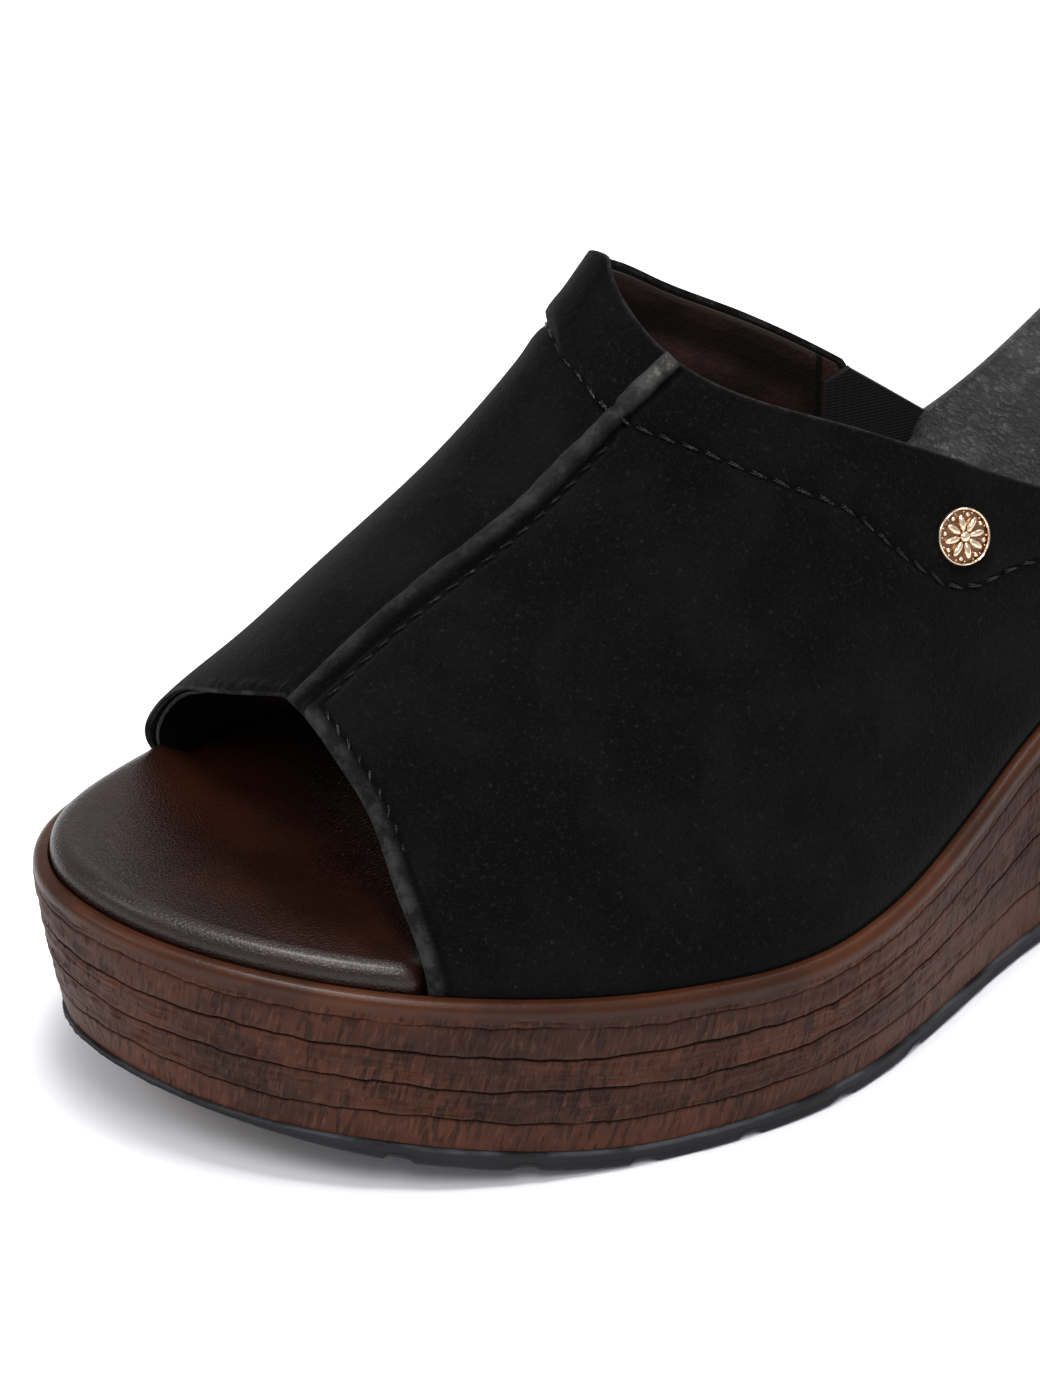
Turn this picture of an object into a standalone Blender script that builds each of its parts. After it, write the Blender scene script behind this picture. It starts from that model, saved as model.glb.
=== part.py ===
"""A woman's open-toed wedge slide sandal, left foot, standing on its sole.

Metres, +Z up. The toe points along -Y and the outer side of the foot is +X. The origin
lies on the floor, under the middle of the sole's length. "Along" is always the share of
the sole's length from the back of the heel (0) to the tip of the toe (1).
"""

import math

import bmesh
import bpy
import numpy as np
from mathutils import Matrix, Vector

# Driving sizes of the sole unit
SOLE_LENGTH = 0.2520
HEEL_WIDTH = 0.0620
WAIST_WIDTH = 0.0606
BALL_WIDTH = 0.0910
FOREFOOT_HEIGHT = 0.0253  # top of the rim behind the ball, above the floor
HEEL_HEIGHT = 0.0660  # top of the rim at the heel, above the floor
TOE_SPRING = 0.0118  # how far the tip of the outsole stands off the floor

# Walls, rims and layers
OUTSOLE_THICKNESS = 0.0032
OUTSOLE_STEP = 0.0004  # how far the rubber stands out past the platform's lower edge
OUTSOLE_CHAMFER = 0.0010
CHANNEL_DEPTH = 0.0011
CHANNEL_WIDTH = 0.0028
CHANNEL_SLOPE = 0.0005
RIM_WIDTH = 0.0021
RIM_ROUND = 0.0014
RECESS_DEPTH = 0.0030
SIDE_TAPER = 0.0017  # how far the platform draws in at its lower edge, along the sides
TOE_TAPER = 0.0035  # the same at the toe
GROOVE_DEPTH = 0.0007
GROOVE_WIDTH = 0.0013
INSOLE_RISE = 0.0034  # how far the footbed's edge stands above the rim
INSOLE_ROUND = 0.0026
INSOLE_DISH = 0.0014
HEEL_CENTRE = 0.13  # along: centres of the footbed's round ends
TOE_CENTRE = 0.86
INSOLE_SPLIT = 0.56  # along: where the toe cover meets the heel cover, under the upper
RAMP_LENGTH = 0.0035  # over which the footbed's edge steps in beside the upper
RAMP_CLEARANCE = 0.0012  # from the upper's edge to the foot of that step
UPPER_WALL = 0.0021
GORE_WALL = 0.0011
SEAM_WIDTH = 0.0030
SEAM_RISE = 0.0009
INSTEP_HEIGHT = 0.0800  # crest of the upper above the rim, at the instep
CREST_ROUND = 0.22  # larger is rounder, as a share of the half width
BADGE_RADIUS = 0.0039
BADGE_THICKNESS = 0.0012
BADGE_LIP = 0.0005
BADGE_SEAT = 0.0004  # clear of the curved leather below it
GAP = 0.0003  # between curved pieces that touch
SEAT_GAP = 0.00045  # between the upper's lower edge and the recess it stands in

# Where the badge and the side gore lie
BADGE_ALONG = 0.5241
BADGE_ROUND = 0.158
GORE_TOP_ROUND = 0.9375
GORE_TOP_STEP = 0.006  # how far short of that the gore itself starts

# Mesh fineness
SIDE_STATIONS = 44
UPPER_STEPS = 17


def rows(names, *values):
    """A short table: each row's numbers under their column names."""
    return [dict(zip(names.split(), row)) for row in values]


# Plan outline of the rim: half widths as shares of the width named in each row.
OUTLINE = rows(
    "along width outer inner",
    (0.000, HEEL_WIDTH, 0.000, 0.000),
    (0.025, HEEL_WIDTH, 0.323, 0.323),
    (0.100, HEEL_WIDTH, 0.490, 0.484),
    (0.220, HEEL_WIDTH, 0.524, 0.484),
    (0.360, WAIST_WIDTH, 0.543, 0.415),
    (0.500, BALL_WIDTH, 0.413, 0.348),
    (0.650, BALL_WIDTH, 0.541, 0.441),
    (0.760, BALL_WIDTH, 0.519, 0.461),
    (0.880, BALL_WIDTH, 0.396, 0.377),
    (0.965, BALL_WIDTH, 0.186, 0.264),
    (1.000, BALL_WIDTH, -0.078, 0.078),
)

# The rim's height: wedge is the share of the rise from forefoot to heel, spring that of
# the toe spring. Lift is the underside's share of the toe spring.
PROFILE = rows(
    "along wedge spring lift",
    (0.00, 1.000, 0.000, 0.00),
    (0.15, 0.975, 0.000, 0.00),
    (0.30, 0.762, 0.000, 0.00),
    (0.42, 0.435, 0.000, 0.00),
    (0.50, 0.256, 0.000, 0.00),
    (0.56, 0.118, 0.000, 0.00),
    (0.62, 0.030, 0.000, 0.00),
    (0.68, 0.000, 0.000, 0.00),
    (0.76, 0.000, 0.127, 0.00),
    (0.88, 0.000, 0.525, 0.34),
    (1.00, 0.000, 0.950, 1.00),
)

# Layer lines in the platform's side, as shares of its height from the rim down. The last
# two only show in the wedge: start is where they begin and full where they are whole.
GROOVES = rows(
    "heel waist forefoot start full",
    (0.050, 0.084, 0.135, 2.00, 1.90),
    (0.150, 0.220, 0.340, 2.00, 1.90),
    (0.270, 0.350, 0.460, 0.50, 0.38),
    (0.400, 0.486, 0.580, 2.00, 1.90),
    (0.560, 0.630, 0.695, 0.50, 0.38),
    (0.720, 0.770, 0.810, 2.00, 1.90),
)
GROOVE_STATIONS = (0.10, 0.48, 0.72)

# Sections of the last above the rim: rise is a share of the instep height, crest the
# crest's sideways place as a share of the ball width, and outer and inner the fullness of
# each flank, where 1 is a straight slope and 2 a quarter ellipse.
LAST = rows(
    "along rise crest outer inner",
    (0.381, 1.139, -0.2123, 1.38, 2.09),
    (0.480, 1.056, -0.2073, 1.36, 2.02),
    (0.560, 0.985, -0.1994, 1.29, 1.73),
    (0.639, 0.794, -0.1796, 1.26, 1.55),
    (0.718, 0.600, -0.1379, 1.31, 1.58),
    (0.798, 0.435, -0.1082, 1.37, 1.65),
    (0.877, 0.239, -0.0764, 1.43, 1.74),
)

# Edges of the upper. Round goes over the foot, from the outer rim (0) to the inner (1).
# Front is the toe opening's place along the sole and back the collar's.
EDGES = rows(
    "round front back",
    (0.00, 0.881, 0.341),
    (0.08, 0.880, 0.404),
    (0.14, 0.878, 0.469),
    (0.21, 0.874, 0.537),
    (0.28, 0.867, 0.594),
    (0.35, 0.864, 0.628),
    (0.42, 0.861, 0.633),
    (0.50, 0.860, 0.629),
    (0.60, 0.871, 0.617),
    (0.70, 0.875, 0.597),
    (0.80, 0.871, 0.553),
    (0.90, 0.868, 0.481),
    (1.00, 0.865, 0.387),
)

# The raised seam's place round the foot, from the toe opening (0) to the collar (1).
SEAM = rows("step round", (0.0, 0.455), (0.3, 0.427), (0.6, 0.400), (0.8, 0.386), (1.0, 0.362))

# Channels across the underside: along of each channel's middle.
CHANNELS = (0.06, 0.12, 0.18, 0.24, 0.30, 0.60, 0.66, 0.72, 0.78, 0.84, 0.90)

COLOURS = {
    "platform": ((0.085, 0.034, 0.020), 0.42, 0.0),
    "outsole": ((0.020, 0.020, 0.022), 0.55, 0.0),
    "insole_toe": ((0.030, 0.011, 0.007), 0.35, 0.0),
    "insole_heel": ((0.052, 0.052, 0.053), 0.55, 0.0),
    "upper": ((0.006, 0.006, 0.006), 0.95, 0.0),
    "side_gore": ((0.010, 0.010, 0.011), 0.85, 0.0),
    "badge": ((0.80, 0.48, 0.30), 0.18, 1.0),
}


def column(table, name):
    return np.array([row[name] for row in table])


def monotone(xs, ys, x):
    """Cubic through the points that never runs past them, for heights."""
    steps = np.diff(xs)
    slopes = np.diff(ys) / steps
    tangents = np.r_[slopes[0], np.zeros(len(xs) - 2), slopes[-1]]
    for k in range(1, len(xs) - 1):
        before, after = slopes[k - 1], slopes[k]
        if before * after > 0:
            w1 = 2 * steps[k] + steps[k - 1]
            w2 = steps[k] + 2 * steps[k - 1]
            tangents[k] = (w1 + w2) / (w1 / before + w2 / after)
    x = np.clip(x, xs[0], xs[-1])
    k = np.clip(np.searchsorted(xs, x, side="right") - 1, 0, len(steps) - 1)
    t = (x - xs[k]) / steps[k]
    rise = ys[k] * (1 + 2 * t) + tangents[k] * steps[k] * t
    fall = ys[k + 1] * (3 - 2 * t) + tangents[k + 1] * steps[k] * (t - 1)
    return rise * (1 - t) ** 2 + fall * t**2


def natural_spline(xs, ys, x):
    """Natural cubic through the points, for the plan outline."""
    n = len(xs)
    steps = np.diff(xs)
    matrix = np.eye(n)
    right = np.zeros(n)
    for k in range(1, n - 1):
        matrix[k, k - 1 : k + 2] = steps[k - 1], 2 * (steps[k - 1] + steps[k]), steps[k]
        right[k] = 6 * ((ys[k + 1] - ys[k]) / steps[k] - (ys[k] - ys[k - 1]) / steps[k - 1])
    bend = np.linalg.solve(matrix, right)
    k = np.clip(np.searchsorted(xs, x, side="right") - 1, 0, n - 2)
    a, b = xs[k + 1] - x, x - xs[k]
    curve = (bend[k] * a**3 + bend[k + 1] * b**3) / (6 * steps[k])
    start = (ys[k] / steps[k] - bend[k] * steps[k] / 6) * a
    end = (ys[k + 1] / steps[k] - bend[k + 1] * steps[k] / 6) * b
    return curve + start + end


def angle_of(along):
    """The outline's own parameter, which makes heel and toe come out round."""
    return np.arccos(np.clip(1 - 2 * np.asarray(along, float), -1, 1))


def along_of(y):
    return np.clip(0.5 - y / SOLE_LENGTH, 0, 1)


def y_of(along):
    return (0.5 - along) * SOLE_LENGTH


OUTLINE_ANGLES = angle_of(column(OUTLINE, "along"))
OUTER_HALF = column(OUTLINE, "outer") * column(OUTLINE, "width")
INNER_HALF = column(OUTLINE, "inner") * column(OUTLINE, "width")


def rim_x(along, side):
    """Sideways place of the rim's outer edge. Side is +1 for the outer side of the foot."""
    half = OUTER_HALF if side > 0 else INNER_HALF
    return side * natural_spline(OUTLINE_ANGLES, half, angle_of(along))


def inside_rim(along, side, inset):
    """Sideways place of the line that runs inside the rim's outline, inset square to it."""
    step = 1e-3
    near = rim_x(along + step, side) - rim_x(along - step, side)
    slope = near / (2 * step * SOLE_LENGTH)
    return rim_x(along, side) - side * inset * math.hypot(1, slope)


def rim_height(along):
    wedge = monotone(column(PROFILE, "along"), column(PROFILE, "wedge"), along)
    spring = monotone(column(PROFILE, "along"), column(PROFILE, "spring"), along)
    return FOREFOOT_HEIGHT + (HEEL_HEIGHT - FOREFOOT_HEIGHT) * wedge + TOE_SPRING * spring


def underside(along):
    return TOE_SPRING * monotone(column(PROFILE, "along"), column(PROFILE, "lift"), along)


def loop_stations(extra=()):
    """(along, side) round the sole: heel, outer side, toe, inner side."""
    even = (1 - np.cos(np.linspace(0, math.pi, SIDE_STATIONS + 1))) / 2
    inside = sorted(set(np.round(even[1:-1], 6)) | set(np.round(extra, 6)))
    outer = [(0.0, 1)] + [(a, 1) for a in inside] + [(1.0, 1)]
    return outer + [(a, -1) for a in reversed(inside)]


def rim_point(along, side, inset):
    """Plan point of the rim's outline, moved inwards by inset."""
    turn = 1e-3
    angle = angle_of(along)
    ends = []
    for step in (-turn, turn):
        near = angle + step
        crossed = near < 0 or near > math.pi
        place = (1 - math.cos(near)) / 2
        ends.append((rim_x(place, -side if crossed else side), y_of(place)))
    tangent = np.subtract(ends[1], ends[0])
    tangent /= np.linalg.norm(tangent)
    inwards = side * np.array([tangent[1], -tangent[0]])
    return np.array([rim_x(along, side), y_of(along)]) + inwards * inset


def ring(stations, inset, height):
    """One loop of points. Inset is a function of a station, height of a place along."""
    points = []
    for along, side in stations:
        x, y = rim_point(along, side, inset(along))
        points.append(Vector((x, y, height(along_of(y)))))
    return points


def toe_share(along):
    return max(0.0, (along - 0.62) / 0.38) ** 2


def lower_taper(along):
    return SIDE_TAPER + (TOE_TAPER - SIDE_TAPER) * toe_share(along)


def cross_cap(bm, loop):
    """Closes a loop with strips that run straight across the sole."""
    half = len(loop) // 2
    bm.faces.new((loop[0], loop[1], loop[-1]))
    for k in range(1, half - 1):
        bm.faces.new((loop[k], loop[k + 1], loop[-k - 1], loop[-k]))
    bm.faces.new((loop[half - 1], loop[half], loop[half + 1]))


def loft(name, rings):
    """A closed solid through rings, from its lower cap up its side to its upper cap."""
    bm = bmesh.new()
    loops = [[bm.verts.new(p) for p in points] for points in rings]
    for lower, upper in zip(loops, loops[1:]):
        count = len(lower)
        for k in range(count):
            following = (k + 1) % count
            bm.faces.new((lower[k], lower[following], upper[following], upper[k]))
    cross_cap(bm, loops[0])
    cross_cap(bm, loops[-1])
    return finished(name, bm)


def finished(name, bm):
    """The mesh made a named object with its own material, shaded smooth between creases."""
    bmesh.ops.recalc_face_normals(bm, faces=bm.faces)
    bmesh.ops.triangulate(bm, faces=bm.faces)
    mesh = bpy.data.meshes.new(name)
    bm.to_mesh(mesh)
    bm.free()
    mesh.shade_smooth()
    mesh.set_sharp_from_angle(angle=math.radians(35))
    colour, roughness, metallic = COLOURS[name]
    material = bpy.data.materials.new(name)
    material.use_nodes = True
    shader = material.node_tree.nodes["Principled BSDF"]
    shader.inputs["Base Color"].default_value = (*colour, 1.0)
    shader.inputs["Roughness"].default_value = roughness
    shader.inputs["Metallic"].default_value = metallic
    mesh.materials.append(material)
    made = bpy.data.objects.new(name, mesh)
    bpy.context.scene.collection.objects.link(made)
    return made


def make_outsole():
    """Thin rubber under the whole sole, with channels across its tread."""
    extra = []
    for middle in CHANNELS:
        half = CHANNEL_WIDTH / 2 / SOLE_LENGTH
        slope = CHANNEL_SLOPE / SOLE_LENGTH
        extra += [middle - half - slope, middle - half, middle + half, middle + half + slope]
    clear = min(np.diff(sorted(extra))) * 0.4
    even = (1 - np.cos(np.linspace(0, math.pi, SIDE_STATIONS + 1))) / 2
    kept = [a for a in even[1:-1] if min(abs(a - e) for e in extra) > clear]
    inside = sorted(kept + extra)
    stations = [(0.0, 1)] + [(a, 1) for a in inside] + [(1.0, 1)]
    stations += [(a, -1) for a in reversed(inside)]

    def inset(along):
        return lower_taper(along) - OUTSOLE_STEP

    def chamfered(along):
        return inset(along) + OUTSOLE_CHAMFER

    def level(height):
        return lambda place: underside(place) + height

    rings = [
        ring(stations, chamfered, level(0.0)),
        ring(stations, inset, level(OUTSOLE_CHAMFER)),
        ring(stations, inset, level(OUTSOLE_THICKNESS - OUTSOLE_STEP)),
        ring(stations, lower_taper, level(OUTSOLE_THICKNESS)),
    ]
    half = (CHANNEL_WIDTH + CHANNEL_SLOPE) / 2 / SOLE_LENGTH
    for number, (along, _) in enumerate(stations):
        if any(abs(along - middle) < half for middle in CHANNELS):
            rings[0][number].z += CHANNEL_DEPTH
            rings[1][number].z += max(0.0, CHANNEL_DEPTH + CHANNEL_SLOPE - OUTSOLE_CHAMFER)
    return loft("outsole", rings)


def groove_share(groove, along):
    """How far down the platform's side a layer line runs, as a share of its height."""
    places = np.array(GROOVE_STATIONS)
    return monotone(places, np.array([groove["heel"], groove["waist"], groove["forefoot"]]), along)


def groove_strength(groove, along):
    shown = (groove["start"] - along) / (groove["start"] - groove["full"])
    return min(1.0, max(0.0, shown))


def platform_bottom(along):
    return underside(along) + OUTSOLE_THICKNESS + GAP


def side_height(along, share):
    """Height on the platform's side, at a share of the way down from the rim."""
    top = rim_height(along) - RIM_ROUND
    return top + (platform_bottom(along) - top) * share


def groove_ring(stations, groove, offset, depth):
    """A loop beside (offset -0.5 or 0.5) or at the bottom (0) of a layer line."""

    def share(along):
        tall = rim_height(along) - platform_bottom(along)
        return groove_share(groove, along) + offset * GROOVE_WIDTH / tall

    def inset(along):
        cut = GROOVE_DEPTH * depth * groove_strength(groove, along)
        return side_inset(along, share(along)) + cut

    return ring(stations, inset, lambda place: side_height(place, share(place)))


def side_inset(along, share):
    return lower_taper(along) * share**1.4


def make_platform():
    """The layered platform and wedge, with a raised rim round a recess for the footbed."""
    stations = loop_stations()
    rings = [ring(stations, lower_taper, platform_bottom)]
    for groove in reversed(GROOVES):
        for offset, depth in ((0.5, 0.0), (0.0, 1.0), (-0.5, 0.0)):
            rings.append(groove_ring(stations, groove, offset, depth))
    for turn in (0, 45, 90):
        across = RIM_ROUND * (1 - math.cos(math.radians(turn)))
        down = RIM_ROUND * (1 - math.sin(math.radians(turn)))
        rings.append(level_ring(stations, across, -down))
    rings.append(level_ring(stations, RIM_WIDTH, 0.0))
    rings.append(level_ring(stations, RIM_WIDTH, -RECESS_DEPTH))
    return loft("platform", rings)


def level_ring(stations, inset, above):
    """A loop at a fixed inset and a fixed height above the rim."""
    return ring(stations, lambda along: inset, lambda place: rim_height(place) + above)


def last_section(along, side):
    """Crest's and foot's sideways places, the rise and the flank's fullness, at one place."""
    alongs = column(LAST, "along")
    place = min(alongs[-1], max(alongs[0], along))
    rise = INSTEP_HEIGHT * natural_spline(alongs, column(LAST, "rise"), place)
    crest = BALL_WIDTH * natural_spline(alongs, column(LAST, "crest"), place)
    fullness = natural_spline(alongs, column(LAST, "outer" if side > 0 else "inner"), place)
    return crest, inside_rim(along, side, RIM_WIDTH + SEAT_GAP), rise, fullness


def flank_rise(across, rise, fullness):
    """Height above the rim, from the crest (across 0) to the foot of the flank (1)."""
    eased = math.hypot(across, CREST_ROUND) - CREST_ROUND
    eased /= math.hypot(1, CREST_ROUND) - CREST_ROUND
    return rise * max(0.0, 1 - min(1.0, eased) ** fullness) ** (1 / fullness)


def last_point(along, turn):
    """A point of the upper's outer face. Below 0 and above 1, turn goes down the rim."""
    over = min(1.0, max(0.0, turn))
    side = 1 if over < 0.5 else -1
    crest, foot, rise, fullness = last_section(along, side)
    across = abs(math.cos(math.pi * over)) ** (2 / fullness)
    up = flank_rise(across, rise, fullness)
    down = abs(turn - over) * RECESS_DEPTH
    x = crest + (foot - crest) * across
    return np.array([x, y_of(along), rim_height(along) + up - down])


def last_height(along, x):
    """Height of the upper's outer face over a place on the footbed."""
    crest, foot, rise, fullness = last_section(along, 1)
    if x < crest:
        crest, foot, rise, fullness = last_section(along, -1)
    across = min(1.0, abs(x - crest) / abs(foot - crest))
    return rim_height(along) + flank_rise(across, rise, fullness)


def ceiling(x, y):
    """Height of the upper's inner face, less the gap left for the footbed."""
    along, step = along_of(y), 5e-4
    here = last_height(along, x)
    lean = (last_height(along, x + step) - here) / step
    climb = (last_height(along + step / SOLE_LENGTH, x) - here) / step
    return here - (UPPER_WALL + 2 * GAP) * math.sqrt(1 + lean**2 + climb**2)


def last_normal(along, turn):
    """Outward normal of the last, by small steps along and round it."""
    step = 2e-3
    over = min(1 - step, max(step, turn))
    length = last_point(along + step, over) - last_point(along - step, over)
    round_it = last_point(along, over + step) - last_point(along, over - step)
    normal = np.cross(round_it, length)
    if turn <= 0 or turn >= 1:
        normal[2] = 0.0
    return normal / np.linalg.norm(normal)


def edge_along(edge, turn):
    return float(monotone(column(EDGES, "round"), column(EDGES, edge), min(1.0, max(0.0, turn))))


def seam_turn(step):
    return float(monotone(column(SEAM, "step"), column(SEAM, "round"), step))


def shell(name, outer, inner):
    """A closed wall between two grids of points of the same size."""
    bm = bmesh.new()
    faces = []
    for grid in (outer, inner):
        faces.append([[bm.verts.new(p) for p in line] for line in grid])
    top, low = faces
    steps, turns = len(top) - 1, len(top[0]) - 1
    for i in range(steps):
        for j in range(turns):
            bm.faces.new((top[i][j], top[i + 1][j], top[i + 1][j + 1], top[i][j + 1]))
            bm.faces.new((low[i][j], low[i][j + 1], low[i + 1][j + 1], low[i + 1][j]))
    for j in range(turns):
        for i in (0, steps):
            bm.faces.new((top[i][j], top[i][j + 1], low[i][j + 1], low[i][j]))
    for i in range(steps):
        for j in (0, turns):
            bm.faces.new((top[i][j], top[i + 1][j], low[i + 1][j], low[i][j]))
    return finished(name, bm)


def wall_point(along, turn, depth):
    """A point under the last's face by depth, kept above the recess floor."""
    point = last_point(along, turn) - last_normal(along, turn) * depth
    floor = rim_height(along_of(point[1])) - RECESS_DEPTH + SEAT_GAP
    return Vector((point[0], point[1], max(point[2], floor)))


def upper_turns():
    """Columns of the upper's grid: shares before and after the seam, and its raised strip."""
    outer = [("outer", t) for t in (-1.0, *np.linspace(0.0, 0.93, 14))]
    strip = [("strip", t) for t in (-1.0, -0.7, 0.7, 1.0)]
    inner = [("inner", t) for t in (*np.linspace(0.06, 0.86, 14), 0.93, 1.0, 2.0)]
    return outer + strip + inner


def make_upper():
    """The whole upper as one wall, open at toe, collar and below, with its raised seam."""
    seam_half = SEAM_WIDTH / 2
    outer, inner = [], []
    for i in range(UPPER_STEPS + 1):
        step = i / UPPER_STEPS
        middle = seam_turn(step)
        front, back = edge_along("front", middle), edge_along("back", middle)
        place = front + (back - front) * step
        beside = last_point(place, middle + 0.01) - last_point(place, middle - 0.01)
        per_turn = np.linalg.norm(beside) / 0.02
        over, under = [], []
        for part, share in upper_turns():
            if part == "strip":
                turn = middle + share * seam_half / per_turn
            elif part == "outer":
                turn = share * middle if share > 0 else share
            else:
                turn = middle + share * (1 - middle) if share <= 1 else 2.0
            front = edge_along("front", turn)
            back = max(edge_along("back", turn), edge_along("back", GORE_TOP_ROUND))
            if turn < 0.5:
                back = edge_along("back", turn)
            along = front + (back - front) * step
            raised = SEAM_RISE if part == "strip" and abs(share) < 1 else 0.0
            over.append(wall_point(along, turn, -raised))
            under.append(wall_point(along, turn, UPPER_WALL))
        outer.append(over)
        inner.append(under)
    return shell("upper", outer, inner)


def make_side_gore():
    """The black gore that carries the inner panel back to the sole, set mid-wall."""
    face = (UPPER_WALL - GORE_WALL) / 2
    start = edge_along("back", GORE_TOP_ROUND) - GAP / SOLE_LENGTH
    top = GORE_TOP_ROUND + GORE_TOP_STEP
    outer, inner = [], []
    for step in np.linspace(0, 1, 6):
        over, under = [], []
        for turn in (*np.linspace(top, 1.0, 7), 2.0):
            end = edge_along("back", turn)
            along = start + (end - start) * step
            over.append(wall_point(along, turn, face))
            under.append(wall_point(along, turn, face + GORE_WALL))
        outer.append(over)
        inner.append(under)
    return shell("side_gore", outer, inner)


def covered(along, side):
    """How far the upper or the gore pushes the footbed's edge inwards: 0 to 1."""
    front = EDGES[0]["front"] if side > 0 else EDGES[-1]["front"]
    back = EDGES[0]["back"] if side > 0 else EDGES[-1]["back"]
    ramp, clear = RAMP_LENGTH / SOLE_LENGTH, RAMP_CLEARANCE / SOLE_LENGTH
    ahead = (front + ramp + clear - along) / ramp
    behind = (along - (back - ramp - clear)) / ramp
    return min(1.0, max(0.0, min(ahead, behind)))


def footbed_edge(along, side):
    """Plan point of the footbed's edge, and how far it is pressed under the upper."""
    deep = rim_point(along, side, RIM_WIDTH + GAP + UPPER_WALL + SEAT_GAP)
    pressed = covered(along_of(deep[1]), side)
    inset = RIM_WIDTH + GAP + pressed * (UPPER_WALL + SEAT_GAP)
    return rim_point(along, side, inset), pressed


def station_at(target, side):
    """The outline's station whose pressed edge lies at a place along the sole."""
    along = target
    for _ in range(12):
        deep = rim_point(along, side, RIM_WIDTH + GAP + UPPER_WALL + SEAT_GAP)
        along += (target - along_of(deep[1])) * 0.7
    return along


def footbed_stations(low, high):
    cuts = {max(low, 0.0), min(high, 1.0)}
    ramp, slack = RAMP_LENGTH / SOLE_LENGTH, RAMP_CLEARANCE / SOLE_LENGTH
    for side, row in ((1, EDGES[0]), (-1, EDGES[-1])):
        for target in (slack, ramp + slack):
            cuts.add(station_at(row["front"] + target, side))
            cuts.add(station_at(row["back"] - target, side))
    even = (1 - np.cos(np.linspace(0, math.pi, SIDE_STATIONS + 1))) / 2
    kept = [a for a in even if low < a < high and min(abs(a - c) for c in cuts) > 0.003]
    return sorted(kept + [c for c in cuts if low <= c <= high])


def make_insole(name, low, high):
    """The part of the cushioned footbed between two places along the sole."""
    lines = [footbed_section(along) for along in footbed_stations(low, high)]
    bm = bmesh.new()
    lines = [[bm.verts.new(p) for p in line] for line in lines]
    count = len(lines[0])
    for one, following in zip(lines, lines[1:]):
        for k in range(count):
            n = (k + 1) % count
            bm.faces.new((one[k], one[n], following[n], following[k]))
    for line in (lines[0], lines[-1]):
        for k in range(count // 2 - 1):
            bm.faces.new((line[k], line[k + 1], line[-k - 2], line[-k - 1]))
    bmesh.ops.remove_doubles(bm, verts=bm.verts, dist=2e-5)
    return finished(name, bm)


def footbed_section(along):
    """Points across the footbed at one place: flat below, rolled edges, dished top."""
    middle = min(max(along, HEEL_CENTRE), TOE_CENTRE)
    spine = np.array([(rim_x(middle, 1) + rim_x(middle, -1)) / 2, y_of(middle)])
    halves = []
    for side in (1, -1):
        edge, pressed = footbed_edge(along, side)
        reach = np.linalg.norm(spine - edge)
        flank = [(0.0, -RECESS_DEPTH + GAP), (0.0, INSOLE_RISE - INSOLE_ROUND)]
        for turn in (30, 60, 90):
            across = INSOLE_ROUND * (1 - math.cos(math.radians(turn)))
            up = INSOLE_ROUND * (1 - math.sin(math.radians(turn)))
            flank.append((across / reach, INSOLE_RISE - up))
        for share in (0.30, 0.55, 0.80):
            dish = INSOLE_DISH * (1 - math.cos(math.pi * share)) / 2
            flank.append((share, INSOLE_RISE - dish))
        line = []
        for number, (share, up) in enumerate(flank):
            x, y = edge + (spine - edge) * share
            base = rim_height(along_of(y))
            if number:
                least = base - RECESS_DEPTH / 2
                low = min(base + up, max(ceiling(x, y), least))
                line.append((x, y, base + up + (low - base - up) * pressed))
            else:
                line.append((x, y, base + up))
        halves.append(line)
    return halves[0] + halves[1][::-1]


def make_badge():
    """A small round metal badge with a raised lip, lying on the outer panel."""
    profile = (
        (0.0, 0.0),
        (BADGE_RADIUS, 0.0),
        (BADGE_RADIUS, BADGE_THICKNESS * 0.6),
        (BADGE_RADIUS - BADGE_LIP * 0.5, BADGE_THICKNESS),
        (BADGE_RADIUS - BADGE_LIP * 1.5, BADGE_THICKNESS),
        (BADGE_RADIUS - BADGE_LIP * 2.0, BADGE_THICKNESS * 0.6),
        (0.0, BADGE_THICKNESS * 0.75),
    )
    bm = bmesh.new()
    corners = [bm.verts.new((r, 0.0, z)) for r, z in profile]
    edges = [bm.edges.new(pair) for pair in zip(corners, corners[1:])]
    bmesh.ops.spin(
        bm, geom=corners + edges, cent=(0, 0, 0), axis=(0, 0, 1),
        angle=math.tau, steps=32, use_merge=True,
    )
    bmesh.ops.remove_doubles(bm, verts=bm.verts, dist=1e-6)
    normal = Vector(last_normal(BADGE_ALONG, BADGE_ROUND))
    place = Vector(last_point(BADGE_ALONG, BADGE_ROUND)) + normal * BADGE_SEAT
    turned = normal.to_track_quat("Z", "Y").to_matrix().to_4x4()
    bmesh.ops.transform(bm, matrix=Matrix.Translation(place) @ turned, verts=bm.verts)
    return finished("badge", bm)


def main():
    for old in list(bpy.data.objects):
        bpy.data.objects.remove(old, do_unlink=True)
    make_outsole()
    make_platform()
    join = GAP / 2 / SOLE_LENGTH
    make_insole("insole_toe", INSOLE_SPLIT + join, 1.0)
    make_insole("insole_heel", 0.0, INSOLE_SPLIT - join)
    make_upper()
    make_side_gore()
    make_badge()


main()
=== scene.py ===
"""The looks of a woman's wedge slide sandal, left foot, in nubuck on a layered platform.

Metres, +Z up, toe towards -Y, outer side of the foot towards +X. "Along" is the share of
the sole's length from the heel (0) to the toe (1). "Turn" goes over the foot, from the
outer rim (0) to the inner rim (1).
"""

import math

import bmesh
import bpy
import numpy as np
from mathutils import Matrix, Vector


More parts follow.
